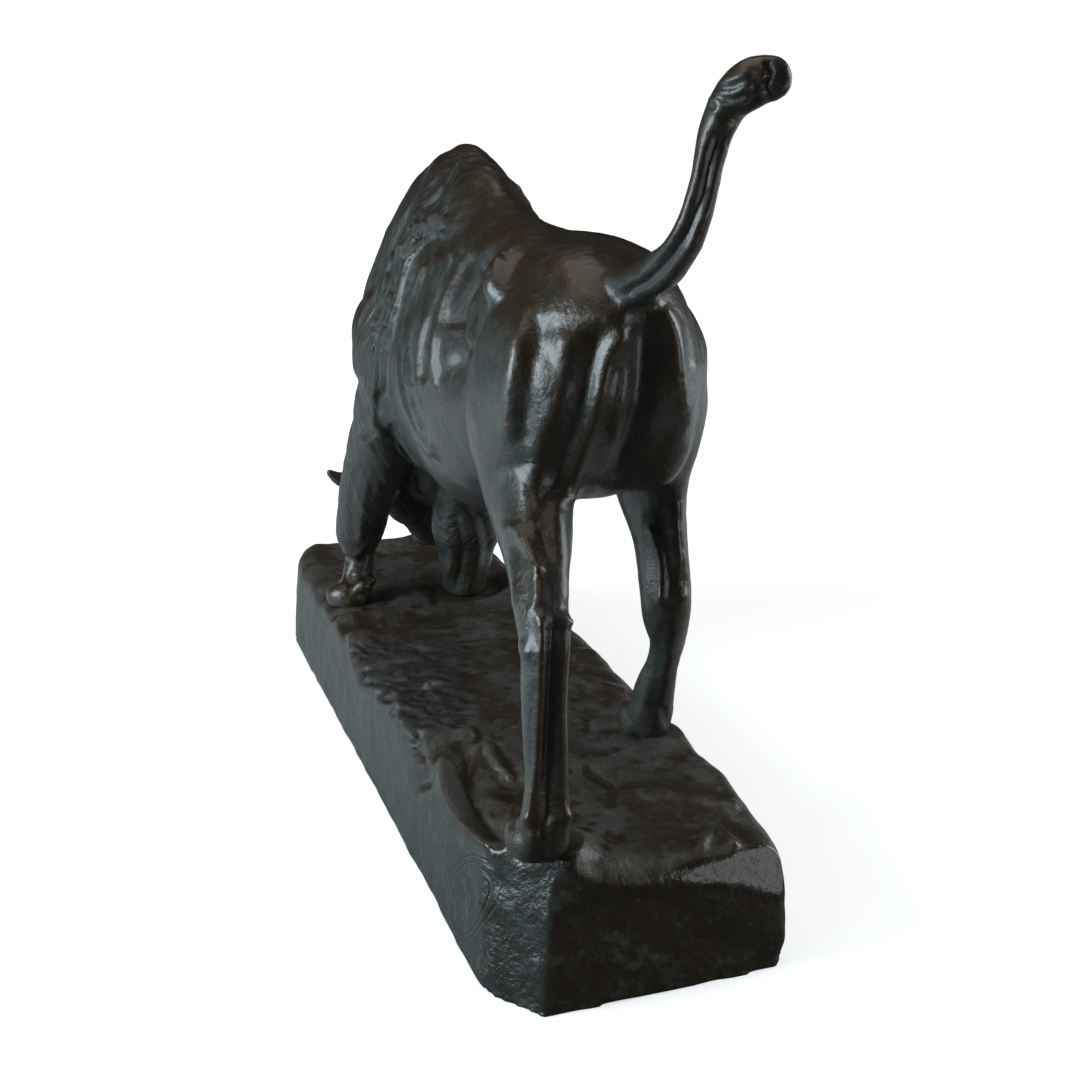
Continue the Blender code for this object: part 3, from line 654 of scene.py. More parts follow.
# Eyelids, eyeball, nostril and mouth, on both sides of the head: rise, width, path of x and z
FACE_STROKES = (
    (0.8, 1.3, ((151, 31), (155, 36), (160, 36), (163, 32))),
    (-0.9, 1.4, ((152, 29), (157, 27), (162, 29))),
    (0.9, 1.7, ((157, 31.5), (158, 31.5))),
    (-1.3, 1.7, ((168, 14), (169, 12))),
    (-1.1, 1.3, ((156, 8), (163, 6.5), (169, 8))),
)
# The strokes seen from behind are softened, because finer ones follow them
REAR_SHARE = 0.45
carving = sum(side_push(points, normals, FLANK_STROKES + FACE_STROKES, (0, y, 0)) for y in (1, -1))
carving += REAR_SHARE * side_push(points, normals, REAR_STROKES, (-1, 0, 0))
print("broad strokes between", carving.min().round(2), "and", carving.max().round(2), "mm")

# %% [markdown]
# ## Noise for hair and stone
#
# Hair, stone and hand-worked wax need an irregular field. Value noise is the simplest one: every
# corner of a lattice has a random value, taken from its whole numbers by mixing bits, and a cubic
# rule blends the eight corners round a point. Stretching the points first stretches the pattern.

# %% Noise
def noise(places, seed):
    """Random field from -1 to 1 with a feature about every unit, the same on every run."""
    cell = np.floor(places).astype(np.int64)
    share = places - cell
    share = share * share * (3 - 2 * share)
    total = np.zeros(len(places))
    for corner in range(8):
        step = np.array((corner & 1, corner >> 1 & 1, corner >> 2))
        key = (cell + step) @ np.array((73856093, 19349663, 83492791)) + seed * 26544357
        key = (key ^ (key >> 13)) * 1274126177
        value = ((key ^ (key >> 16)) & 65535) / 32767.5 - 1
        total += value * np.where(step, share, 1 - share).prod(1)
    return total


def layered(places, seed, layers=3):
    """Noise added to itself at twice the fineness and half the strength, layer by layer."""
    return sum(noise(places * 2 ** layer, seed + layer) / 2 ** layer for layer in range(layers))


def creased(places, seed):
    """Noise folded at nought: round strands with sharp creases between them, from -1 to 1."""
    return 1 - 3 * np.abs(noise(places, seed))


# %% [markdown]
# ## Wool on the forequarters
#
# A bison in winter coat has a cape: the wool stands out from the skin and ends along a ragged
# seam over the shoulder. The hair falls in arcs from the crest of the hump down to the forelegs,
# like lines around a centre low behind the shoulder. So the strands are creased noise in curved
# places: long along the arc, narrow across it. Two sizes are laid on each other, as a modeller
# does with a broad tool first and a fine one after.

# %% Wool
# Edge of the wool over the shoulder: heights, and the x of the edge at each
SEAM_HEIGHTS = (60, 98, 112, 130, 145, 158, 170, 177, 184, 190, 193, 198, 215, 230)
SEAM_PLACES = (74, 60, 52, 38, 30, 27, 29, 26, 20, 8, -9, -20, -22, -20)
# Rags of the edge: size of the noise, how far it goes, and its seed
SEAM_RAGS = ((9.0, 1.2, 11), (3.5, 0.3, 12))
SEAM_WIDTH = 4.0
CREST_SEAM = 30.0
CREST_SEAM_FROM = 184
CREST_SEAM_FADE = 14
WOOL_RISE = 2.2
WOOL_FROM = 18
WOOL_FADE = 12
# The bare face lies beyond this x and under this height, and each edge of it has a fade
FACE_FROM, FACE_FROM_FADE = 142, 20
FACE_BELOW, FACE_BELOW_FADE = 44, 22
ARC_CENTRE = (-40.0, 100.0)
ARC_RADIUS = 120.0
# The arcs open out towards the flanks, and wander by a bend that has a size of its own
ARC_ASIDE = 0.9
ARC_BEND, BEND_SIZE = 5.0, 26.0
BROAD_STRAND = (34.0, 8.5, 16.0)
FINE_STRAND = (26.0, 3.0, 7.0)
# On the legs the strands are lower, and they grow over a fade above the legs
LEG_STRANDS = 0.4
LEG_WOOL_UNDER, LEG_WOOL_FADE = 70, 40
BROAD_RISE = 0.65
FINE_RISE = 0.40


def wool_share(figure):
    """One on the woolly forequarters, nought on the smooth flanks, hooves and face."""
    ragged = sum(rise * noise(figure / size, seed) for size, rise, seed in SEAM_RAGS)
    width = SEAM_WIDTH + CREST_SEAM * rising(figure[:, 2], CREST_SEAM_FROM, CREST_SEAM_FADE)
    edge = np.interp(figure[:, 2], SEAM_HEIGHTS, SEAM_PLACES) + ragged - 0.5 * width
    share = rising(figure[:, 0], edge, width) * (1 - on_horns(figure))
    face = rising(figure[:, 0], FACE_FROM, FACE_FROM_FADE)
    face *= 1 - rising(figure[:, 2], FACE_BELOW, FACE_BELOW_FADE)
    return share * rising(figure[:, 2], WOOL_FROM, WOOL_FADE) * (1 - face)


def strand_places(figure):
    """Curved places of the hair: length along the arc, distance across it, and depth."""
    x, y, z = figure.T
    radius = np.hypot(x - ARC_CENTRE[0], z - ARC_CENTRE[1])
    arc = ARC_RADIUS * np.arctan2(x - ARC_CENTRE[0], z - ARC_CENTRE[1])
    bend = ARC_BEND * noise(figure / BEND_SIZE, 21)
    return np.stack([arc, radius + ARC_ASIDE * np.abs(y) + bend, y], axis=1)


places = strand_places(points)
wool = wool_share(points)
strands = BROAD_RISE * creased(places / BROAD_STRAND, 31)
strands += FINE_RISE * creased(places / FINE_STRAND, 32)
strands *= LEG_STRANDS + (1 - LEG_STRANDS) * rising(points[:, 2], LEG_WOOL_UNDER, LEG_WOOL_FADE)
carving += wool * (WOOL_RISE + strands)
print("wool on", round(100 * wool.mean()), "% of the points")

# %% [markdown]
# ## Folds read off the photograph
#
# The finest forms are easiest to place where they are seen. Each path below is a line in the
# photograph, in its pixels, from a ridge or a furrow that shows there. The camera above turns
# every point of the skin into pixels, and a pixel at its distance into millimetres. Only skin that
# the camera sees is carved: a point counts if nothing else of the figure is nearer at its pixel.

# %% Seen skin
DEPTH_CELL = 3.0
SEEN_MARGIN = 5.0
SEEN_STEPS = 6


def seen_share(figure, normals, edges):
    """One where the camera sees the skin, nought behind: nearest depth in each small square of
    the picture, against the point's own depth, and then eased so that no stroke ends in a step."""
    pixels, ahead = photo_pixels(figure)
    cell = np.clip(pixels // DEPTH_CELL, 0, PHOTO_PIXELS // DEPTH_CELL - 1).astype(int)
    flat = cell[:, 0] * int(PHOTO_PIXELS) + cell[:, 1]
    nearest = np.full(int(PHOTO_PIXELS) ** 2, np.inf)
    np.minimum.at(nearest, flat, ahead)
    towards = CAMERA_PLACE - figure
    towards /= np.linalg.norm(towards, axis=1)[:, None]
    facing = rising((normals * towards).sum(1), 0.02, 0.25)
    seen = facing * (ahead < nearest[flat] + SEEN_MARGIN)
    return eased(seen[:, None], edges, SEEN_STEPS)[:, 0]


def photo_push(figure, seen, strokes):
    """Strokes along lines of the photograph, on the skin that is seen there."""
    pixels, ahead = photo_pixels(figure)
    return seen * stroke_push(pixels, strokes, ahead / FOCAL_PIXELS)


normals = mesh_state(bison_mesh)[1]
seen = seen_share(points, normals, edges)
print("the photograph sees", round(100 * seen.mean()), "% of the skin")

# %% [markdown]
# The hindquarters are one broad plane after another, as a modeller sets them with a flat stick:
# a lit plane on the outer thigh, a dark one behind it, the sharp edge of the buttock, and the deep
# furrow under the tail.

# %% Hindquarters
# Strokes of this kind: rise, width, path of pixels across and down
HINDQUARTERS = (
    (1.3, 3.0, ((526, 314), (518, 342), (513, 373), (510, 404), (511, 428))),
    (-0.9, 3.2, ((540, 328), (530, 366), (526, 400), (523, 435))),
    (2.2, 4.2, ((567, 345), (566, 373), (560, 400), (550, 421), (542, 442), (538, 466))),
    (-2.8, 5.0, ((600, 340), (592, 387), (584, 421), (571, 455), (563, 483))),
    (2.0, 2.8, ((621, 337), (609, 356), (602, 380), (595, 407), (590, 431), (578, 466), (569, 497))),
    (-0.7, 3.5, ((619, 373), (612, 421), (602, 466))),
    (1.0, 3.0, ((626, 342), (629, 387), (619, 442))),
    (-2.2, 5.0, ((650, 342), (647, 373), (640, 414), (629, 449), (619, 480))),
    (1.3, 2.6, ((665, 313), (676, 342), (679, 373), (682, 404))),
    (0.8, 2.4, ((696, 366), (695, 393), (690, 421))),
    (0.8, 2.4, ((678, 490), (678, 524), (681, 559))),
    (-0.8, 3.0, ((609, 288), (612, 294))),
    (-0.7, 3.0, ((617, 301), (646, 309), (664, 306))),
    (-1.2, 1.8, ((482, 271), (484, 272))),
    (1.0, 1.6, ((480, 258), (484, 249), (493, 242), (508, 237), (527, 233), (548, 231))),
    (-0.8, 2.0, ((503, 252), (505, 254))),
    (-0.9, 8.0, ((530, 262), (546, 283))),
    (0.6, 3.0, ((575, 236), (590, 246))),
    (-0.6, 2.6, ((584, 234), (600, 243))),
)
carving += photo_push(points, seen, HINDQUARTERS)
print(len(HINDQUARTERS), "strokes on the hindquarters")

# %% [markdown]
# Along the flank the last ribs show as narrow ridges with furrows between, and behind them lies
# the hollow of the flank. In front the wool starts with a chipped, undercut edge.

# %% Flank and seam
FLANK = (
    (1.4, 1.6, ((457, 258), (449, 277), (444, 299), (440, 319), (435, 344), (430, 382))),
    (1.4, 1.6, ((440, 258), (432, 277), (425, 299), (421, 331), (417, 363), (422, 385))),
    (1.4, 1.6, ((424, 267), (413, 290), (406, 319), (405, 350), (411, 385))),
    (1.5, 2.0, ((405, 299), (397, 322), (394, 344), (397, 376), (405, 408), (417, 437), (430, 452))),
    (-1.3, 1.8, ((449, 261), (438, 283), (432, 312), (428, 344), (425, 376))),
    (-1.3, 1.8, ((430, 267), (420, 290), (414, 319), (412, 350), (415, 382))),
    (-1.3, 1.8, ((413, 280), (402, 306), (399, 338), (401, 370), (409, 401))),
    (-3.0, 4.6, ((469, 261), (459, 283), (449, 306), (446, 322))),
    (1.8, 1.8, ((475, 252), (473, 274), (469, 299), (459, 319), (448, 328))),
    (-0.8, 2.0, ((469, 347), (449, 360), (437, 376))),
    (0.5, 1.2, ((417, 436), (426, 449), (446, 456))),
    (-0.5, 1.2, ((421, 434), (431, 447), (449, 453))),
)
FLANK_SHARE = 0.7
# The seam is cut in chips of this size: the least depth, and how much more there is in a chip
SEAM_CHIP = 5.0
CHIP_LEAST, CHIP_MORE = 0.45, 0.9
SEAM = (
    (-2.4, 1.6, ((445, 228), (430, 236), (421, 239), (416, 250), (403, 260), (397, 277), (395, 299),
                 (390, 319), (389, 338), (386, 350))),
    (2.0, 1.5, ((441, 220), (427, 228), (415, 233), (410, 244), (398, 253), (391, 272), (389, 297),
                (385, 317), (383, 336), (380, 350))),
)
HUMP = (
    (1.2, 3.6, ((440, 172), (430, 197), (419, 223))),
    (1.2, 3.6, ((469, 169), (459, 197), (440, 220))),
    (0.9, 3.0, ((481, 175), (469, 201), (462, 216))),
    (1.0, 3.6, ((411, 191), (398, 213), (389, 242))),
    (-1.1, 2.8, ((432, 169), (421, 197), (410, 223), (398, 248), (389, 274))),
    (-0.9, 2.4, ((455, 165), (446, 190), (434, 212))),
    (-0.8, 2.4, ((476, 168), (466, 195), (452, 214))),
)
chips = CHIP_LEAST + CHIP_MORE * np.clip(creased(points / SEAM_CHIP, 35), 0, 1)
carving += FLANK_SHARE * photo_push(points, seen, FLANK) + photo_push(points, seen, HUMP)
carving += chips * photo_push(points, seen, SEAM)
print(len(FLANK) + len(SEAM) + len(HUMP), "strokes on the flank, the seam and the hump")

# %% [markdown]
# The legs are lean: skin over tendon and bone. The tail has a furrow along its length and opens
# into a tuft of coarse strands with a torn end.

# %% Legs and tail
HIND_LEGS = (
    (1.0, 2.6, ((507, 531), (509, 566), (517, 603))),
    (1.6, 1.7, ((516, 528), (528, 547), (538, 568))),
    (-0.9, 3.0, ((512, 548), (520, 576), (527, 600))),
    (0.8, 1.9, ((538, 568), (538, 592), (532, 609))),
    (-1.1, 4.0, ((547, 496), (544, 547), (552, 587), (555, 606))),
    (0.8, 2.4, ((556, 500), (566, 560), (567, 595))),
    (-1.2, 2.6, ((536, 520), (546, 540), (552, 556))),
    (1.5, 2.0, ((541, 618), (542, 621))),
    (1.4, 2.0, ((565, 617), (566, 620))),
    (1.4, 2.4, ((524, 647), (525, 652))),
    (0.8, 2.4, ((533, 654), (536, 678))),
    (1.6, 1.7, ((543, 628), (543, 667), (540, 721), (538, 761), (530, 817))),
    (1.6, 1.7, ((566, 624), (563, 667), (560, 721), (562, 775), (564, 815))),
    (-2.2, 2.6, ((554, 630), (551, 694), (548, 748), (547, 815))),
    (-1.4, 2.4, ((543, 826), (543, 866))),
    (1.0, 2.0, ((526, 822), (527, 824))),
    (1.0, 2.0, ((565, 816), (567, 820))),
    (0.8, 2.2, ((641, 515), (643, 547), (646, 582), (649, 609))),
    (1.1, 1.8, ((651, 531), (661, 560), (662, 598))),
    (-1.1, 3.0, ((662, 515), (667, 550), (671, 584))),
    (0.8, 2.2, ((678, 507), (676, 539), (681, 571))),
    (1.5, 2.4, ((682, 595), (682, 598))),
    (0.9, 2.2, ((661, 596), (661, 600))),
    (-0.8, 2.6, ((662, 630), (657, 667), (654, 702))),
    (-0.9, 1.8, ((664, 712), (668, 724))),
)
FORELEGS = (
    (1.4, 2.2, ((382, 417), (386, 427), (373, 440))),
    (1.0, 2.2, ((356, 402), (364, 390), (372, 392))),
    (-0.9, 2.0, ((366, 424), (356, 442), (352, 462))),
    (1.0, 2.0, ((385, 476), (387, 480))),
    (-0.8, 1.8, ((360, 470), (354, 500), (356, 530))),
    (0.8, 1.6, ((369, 480), (364, 510), (360, 538))),
    (1.2, 2.0, ((348, 552), (358, 554), (367, 541))),
    (-1.2, 1.8, ((346, 559), (358, 562), (369, 552))),
    (-0.8, 1.6, ((352, 575), (350, 592))),
    (0.9, 1.8, ((446, 523), (453, 555), (443, 586))),
    (-0.9, 1.8, ((458, 515), (464, 552), (456, 588))),
    (0.9, 1.8, ((469, 507), (478, 555), (468, 590))),
    (-0.8, 1.8, ((480, 515), (487, 550), (481, 585))),
)
TAIL_STROKES = (
    (-1.9, 2.2, ((718, 140), (709, 169), (704, 194), (696, 211), (686, 235), (668, 260), (646, 283),
                 (629, 292))),
    (0.6, 1.8, ((703, 151), (695, 181), (686, 208), (675, 233), (657, 256))),
    (0.6, 1.8, ((725, 154), (716, 176), (711, 197), (705, 215), (689, 251))),
    (0.9, 1.3, ((711, 99), (725, 106), (743, 102), (754, 94))),
    (0.7, 1.2, ((714, 92), (732, 95), (746, 88))),
    (0.8, 1.4, ((718, 111), (736, 113), (752, 110), (771, 108))),
    (0.7, 1.3, ((723, 83), (737, 79), (752, 74))),
    (-0.9, 1.3, ((752, 72), (755, 86), (754, 99))),
    (-0.9, 1.1, ((716, 88), (732, 86), (748, 78))),
    (-0.9, 1.1, ((713, 95), (730, 100), (747, 95), (757, 90))),
    (-0.9, 1.1, ((712, 104), (728, 110), (744, 107), (758, 100))),
    (-0.8, 1.1, ((722, 117), (740, 119), (758, 114))),
    (-1.4, 1.3, ((768, 62), (772, 74), (766, 86), (770, 96))),
    (0.9, 1.2, ((774, 60), (778, 74), (772, 88), (774, 100))),
    (-1.2, 2.0, ((776, 63), (779, 76), (771, 86))),
    (0.8, 1.4, ((780, 57), (787, 72), (786, 86), (777, 106))),
)
for strokes in (HIND_LEGS, FORELEGS, TAIL_STROKES):
    carving += photo_push(points, seen, strokes)
print(len(HIND_LEGS) + len(FORELEGS) + len(TAIL_STROKES), "strokes on the legs and the tail")

# %% [markdown]
# Last comes the hand's own unevenness. Wax that is pressed and scraped never has a pure curve: it
# has shallow dents a thumb wide and finer ones between, which make the highlights wander.

# %% Thumb dents, and the finished skin
DENT_SIZE = 13.0
DENT_DEPTH = 0.55
SCRAPE_SIZE = 3.4
SCRAPE_DEPTH = 0.10
PIECE_TRIANGLES = 198000


def finished(mesh, name):
    """The mesh thinned to a piece's number of triangles, named and shaded smooth."""
    share = min(1.0, PIECE_TRIANGLES / (2 * len(mesh.polygons)))
    mesh = with_modifier(mesh, "DECIMATE", ratio=share)
    mesh.name = name
    mesh.shade_smooth()
    print(len(mesh.polygons), "faces on", name)
    return mesh


carving += DENT_DEPTH * noise(points / DENT_SIZE, 41) + SCRAPE_DEPTH * noise(points / SCRAPE_SIZE, 42)
normals = mesh_state(bison_mesh)[1]
move_points(bison_mesh, points + normals * carving[:, None])
bison_mesh = finished(bison_mesh, "bison_bronze")

# %% [markdown]
# ## The rocky plinth
#
# The ground is part of the cast: a long block with leaning walls, hewn facets at its corners and
# a modelled top. It is a surface of two parameters: one runs from the rear to the front, the
# other goes round each section, up the left wall, across the ground and down the right wall. The
# ground's height is a sum of broad mounds and hollows, and it is flat where a hoof stands.

# %% The block
REAR_MARGIN = 8.0
FRONT_MARGIN = 97.0
LEFT_MARGIN = 7.0
RIGHT_MARGIN = 10.0
WALL_LEAN = 3.0
REAR_LEAN = 7.0
EDGE_ROUND = 12.0
SIDE_WAIST = 0.8
REAR_CORNER = 30.0
REAR_CHAMFER = 0.45
RIGHT_CHAMFER = 0.20
FRONT_CORNER = 50.0
FRONT_CHAMFER = 0.44
STEEP = 0.75
# The ground is levelled within this many hoof lengths of a hoof, and fades out over the last part
LEVEL_REACH, LEVEL_FADE = 1.35, 0.5
# The rubbed shine of a facet ends this far under it, in millimetres, over a fade
SHINE_UNDER, SHINE_FADE = 0.9, 0.8
# Ground: middle x, middle y, half length, half width, heading in degrees, rise
MOUNDS = (
    (-178, 36, 52, 20, 0, 6.0),
    (-128, 24, 20, 10, 0, -8.0),
    (-40, 0, 60, 34, 15, 4.0),
    (-15, 40, 34, 10, 8, -5.0),
    (30, 38, 26, 10, -10, -4.5),
    (60, 4, 26, 40, 60, -2.5),
    (172, 0, 52, 60, 0, -8.0),
    (-185, -44, 42, 22, -10, -4.0),
    (-146, -54, 18, 9, -8, 3.0),
)
# Hewn facets: corner (rear or front, left or right, as -1 or 1), the height on that corner as a
# share of the plinth's, the way it faces, and how deep it cuts in there
FACETS = (
    ((-1, 1), 0.0, (-0.58, 0.80, 0.24), 0.0135),
    ((-1, 1), 1.0, (-0.72, 0.52, 0.46), 0.0105),
    ((-1, -1), 1.0, (-0.52, -0.30, 0.80), 0.0125),
    ((-1, -1), 0.0, (-0.55, -0.78, -0.30), 0.0105),
    ((1, 1), 1.0, (0.62, 0.55, 0.55), 0.0160),
    ((1, -1), 1.0, (0.50, -0.66, 0.55), 0.0150),
)
# Facets that only the finer model has, both at the right rear corner
FINE_FACETS = (
    ((-1, -1), 0.7, (-0.90, -0.14, 0.46), 0.0080),
    ((-1, -1), 0.5, (-0.60, -0.80, 0.05), 0.0062),
)
POLISHED_SHADED_FACETS = (FACETS[0], FINE_FACETS[0])
hoof_places = np.array(list(HOOVES.values()), float)
REAR_END = hoof_places[:, 0].min() - 0.5 * HOOF_LENGTH - REAR_MARGIN
FRONT_END = hoof_places[:, 0].max() + 0.5 * HOOF_LENGTH + FRONT_MARGIN
LEFT_SIDE = hoof_places[:, 1].max() + 0.5 * HOOF_WIDTH + LEFT_MARGIN
RIGHT_SIDE = hoof_places[:, 1].min() - 0.5 * HOOF_WIDTH - RIGHT_MARGIN


def plinth_outline(x):
    """Left and right edges of the foot at each x, its corners rounded off."""
    from_rear = np.clip((x - REAR_END) / REAR_CORNER, 0, 1)
    from_front = np.clip((FRONT_END - x) / FRONT_CORNER, 0, 1)
    rear_trim = REAR_CORNER * (1 - from_rear) ** 1.4
    front_trim = FRONT_CORNER * (1 - np.sqrt(1 - (1 - from_front) ** 2))
    left_trim = REAR_CHAMFER * rear_trim + FRONT_CHAMFER * front_trim
    right_trim = RIGHT_CHAMFER * rear_trim + FRONT_CHAMFER * front_trim
    along = np.clip((x - REAR_END) / (FRONT_END - REAR_END), 0, 1)
    waist = SIDE_WAIST * np.sin(np.pi * along) ** 2
    return LEFT_SIDE - left_trim - waist, RIGHT_SIDE + right_trim + waist


def beside_hoof(x, y, place):
    """One near a hoof and nought beyond its reach, in a smooth line over the fade."""
    away = np.hypot(x - place[0], y - place[1]) / HOOF_LENGTH
    return rising(LEVEL_REACH - away, 0, LEVEL_FADE)


def ground(x, y):
    """Sum of turned bell-shaped mounds, levelled to each hoof's own height around it."""
    height = np.zeros(np.broadcast(x, y).shape)
    for middle_x, middle_y, long, wide, degrees, rise in MOUNDS:
        turn = math.radians(degrees)
        along = (x - middle_x) * math.cos(turn) + (y - middle_y) * math.sin(turn)
        aside = (y - middle_y) * math.cos(turn) - (x - middle_x) * math.sin(turn)
        height = height + rise * np.exp(-((along / long) ** 2 + (aside / wide) ** 2))
    for place in hoof_places:
        height = height + (place[2] - height) * beside_hoof(x, y, place)
    return height


def over_facet(figure, facet):
    """The way a facet faces, and how far each point lies beyond its plane in millimetres."""
    (end, side), share, facing, depth = facet
    facing = np.asarray(facing, float) / np.linalg.norm(facing)
    corner = np.array((
        FRONT_END if end > 0 else REAR_END,
        LEFT_SIDE if side > 0 else RIGHT_SIDE,
        (share - 1) * GROUND_LEVEL,
    ))
    return facing, (figure - corner) @ facing + depth / MILLIMETRE


def hewn(figure, facets):
    """Points beyond a facet go back onto it: level for a wall's facet, straight down for a top's."""
    for facet in facets:
        facing, beyond = over_facet(figure, facet)
        way = np.array((0, 0, 1.0)) if facing[2] > STEEP else facing * (1, 1, 0)
        figure = figure - np.maximum(beyond, 0)[..., None] * way / (way @ facing)
    return figure


def polished_and_shaded_share(figure):
    """One on the facets that are rubbed bare and shiny, which are also painted darker as shade, nought
    nearly two millimetres under.
    """
    under = -np.max([over_facet(figure, facet)[1] for facet in POLISHED_SHADED_FACETS], axis=0)
    return 1 - rising(under, SHINE_UNDER, SHINE_FADE)


def block(rows=120, columns=48):
    """Sections along X: foot, leaning walls, rounded edges and the ground between them. They
    stand closer together near both ends, by the cosine of an angle that runs evenly."""
    share = 0.5 - 0.5 * np.cos(np.pi * (0.08 + 0.84 * np.linspace(0, 1, rows)))
    share = (share - share[0]) / (share[-1] - share[0])
    x = (REAR_END + (FRONT_END - REAR_END) * share)[:, None]
    left, right = plinth_outline(x)
    across = 0.5 - 0.5 * np.cos(np.pi * np.linspace(1, 0, columns)[None])
    y = right + WALL_LEAN + (left - right - 2 * WALL_LEAN) * across
    end = np.minimum(x - x[0], x[-1] - x)
    edge = np.minimum(np.minimum(left - WALL_LEAN - y, y - right - WALL_LEAN), end)
    edge = np.clip(edge / EDGE_ROUND, 0, 1)
    z = GROUND_LEVEL + ground(x, y) - EDGE_ROUND * 0.75 * (1 - np.sqrt(1 - (1 - edge) ** 2))
    wall = np.array((0.0, 0.25, 0.5, 0.75))
    rings = np.stack([
        np.hstack([x + 0 * wall, x + 0 * y, x + 0 * wall]),
        np.hstack([left - WALL_LEAN * wall, y, right + WALL_LEAN * wall[::-1]]),
        np.hstack([z[:, :1] * wall, z, z[:, -1:] * wall[::-1]]) - GROUND_LEVEL,
    ], axis=2)
    from_rear = np.clip((rings[..., 0] - x[0]) / (2 * REAR_CORNER), 0, 1)
    rings[..., 0] += REAR_LEAN * (1 - from_rear) * (rings[..., 2] / GROUND_LEVEL + 1)
    return skin(hewn(rings, FACETS))


PLINTH_VOXEL = 0.00115
PLINTH_STEPS = 8
FOOT_KEPT = 1.5
plinth_mesh = with_modifier(new_mesh("block", *block()), "REMESH", mode="VOXEL", voxel_size=PLINTH_VOXEL)
points, _, edges = mesh_state(plinth_mesh)
foot = points[:, 2] < -GROUND_LEVEL + FOOT_KEPT
points = eased(points, edges, PLINTH_STEPS, np.where(foot, 0.0, 1.0))
move_points(plinth_mesh, points)
print(len(points), "points on the plinth")

# %% [markdown]
# ## Rock, chips and lips
#
# The walls are smoothed with long soft waves, the ground is rippled, and one patch on the left is
# roughly chipped and left dark. A raised lip of rock stands at the left near the rear with a
# hollow behind it, and wax was pressed up in a ring round the hoof that carries the stretched leg.

# %% Rock
GROUND_STROKES = (
    (1.6, 2.2, ((425, 764), (430, 751), (443, 743), (468, 738))),
    (1.6, 2.2, ((445, 764), (446, 786), (456, 812), (472, 831), (491, 849), (502, 866))),
    (-3.0, 6.5, ((468, 767), (472, 790), (484, 815), (494, 834))),
    (1.2, 2.2, ((484, 804), (485, 807))),
    (1.2, 1.6, ((488, 751), (497, 767), (510, 780))),
    (-2.4, 3.0, ((417, 745), (421, 764), (422, 783))),
    (0.9, 1.6, ((351, 636), (354, 665), (363, 688), (395, 694), (402, 719), (417, 745))),
    (1.3, 2.2, ((513, 809), (504, 841), (510, 872), (542, 879), (571, 866), (577, 841))),
    (0.9, 2.6, ((577, 656), (609, 652), (622, 655))),
    (0.9, 2.4, ((574, 681), (600, 686), (622, 691))),
    (1.0, 2.6, ((596, 726), (640, 724), (682, 732))),
    (1.0, 2.4, ((625, 796), (660, 793), (690, 796), (733, 806))),
    (1.1, 2.2, ((701, 844), (714, 831), (722, 836), (733, 847))),
    (-0.8, 1.8, ((586, 770), (609, 783))),
    (0.9, 3.0, ((331, 614), (386, 608), (424, 598))),
    (-0.9, 3.0, ((345, 625), (400, 618), (450, 612))),
    (0.8, 2.2, ((566, 901), (590, 893), (622, 885), (672, 882), (701, 880))),
)
CHIPPED_PLACE = (412, 690)
CHIPPED_REACH = (70, 62)
RAG_SIZE, RAG_REACH = 12.0, 0.22
CHIP_SIZE = (8.5, 2.6, 5.0)
STROKE_SHARE = 2.2
CHIP_RISE = 1.3
CHIP_TURN = math.radians(35)
CHIP_GRAIN, CHIP_GRAIN_SHARE = 2.4, 0.5
WAVE_SIZE = (34.0, 60.0, 26.0)
WAVE_RISE = 1.1
LUMP_SIZE = 12.0
LUMP_RISE = 0.55
GRIT_SIZE = 3.0
GRIT_RISE = 0.12
# Share of the finer relief on the walls, and how far a hoof's level ground is freed of relief
WALL_RELIEF = 0.25
LEVEL_RELIEF = 0.85
UNEVEN_SIZE, UNEVEN_RISE = 9.0, 0.5
FOOT_BAND = 0.6
# The brink of the rear wall is eased: from the rear end, from this height, over a fade
BRINK_LENGTH, BRINK_OVER, BRINK_FADE = 14, -16, 8
BRINK_STEPS = 24


def oval_away(pixels, centre, reach):
    """How far pixels lie from an oval's centre: nought there, and one on the oval."""
    return np.linalg.norm((pixels - centre) / np.array(reach), axis=1)


def ground_share(normals):
    """One on the ground, which faces up, and nought on the walls."""
    return rising(normals[:, 2], 0.2, 0.5)


def chipped_share(figure, normals):
    """One on the ground inside the chipped patch, an oval in the photograph with ragged edges."""
    reach = oval_away(photo_pixels(figure)[0], CHIPPED_PLACE, CHIPPED_REACH)
    reach += RAG_REACH * layered(figure / RAG_SIZE, 57)
    return ground_share(normals) * (1 - rising(reach, 0.75, 0.3))


normals = mesh_state(plinth_mesh)[1]
seen = seen_share(points, normals, edges)
upward = ground_share(normals)
chipped = chipped_share(points, normals)
turned = points @ np.array((
    (math.cos(CHIP_TURN), -math.sin(CHIP_TURN), 0),
    (math.sin(CHIP_TURN), math.cos(CHIP_TURN), 0),
    (0, 0, 1),
))
level = upward * np.max([beside_hoof(points[:, 0], points[:, 1], place) for place in hoof_places], axis=0)
calm = WALL_RELIEF + (1 - WALL_RELIEF) * upward
rock = WAVE_RISE * noise(points / WAVE_SIZE, 51) + calm * LUMP_RISE * layered(points / LUMP_SIZE, 52)
rock += calm * GRIT_RISE * noise(points / GRIT_SIZE, 53)
chips = creased(turned / CHIP_SIZE, 54) + CHIP_GRAIN_SHARE * noise(points / CHIP_GRAIN, 55)
rock += chipped * CHIP_RISE * chips
carving = rock * (1 - LEVEL_RELIEF * level) + STROKE_SHARE * photo_push(points, seen, GROUND_STROKES)
carving[points[:, 2] < -GROUND_LEVEL + FOOT_BAND] = 0
uneven = UNEVEN_RISE * noise(points / UNEVEN_SIZE, 56)[:, None] * normals
points = hewn(points + normals * carving[:, None], FACETS) + uneven
brink = rising(REAR_END + BRINK_LENGTH - points[:, 0], 0, BRINK_FADE)
brink *= rising(points[:, 2], BRINK_OVER, BRINK_FADE)
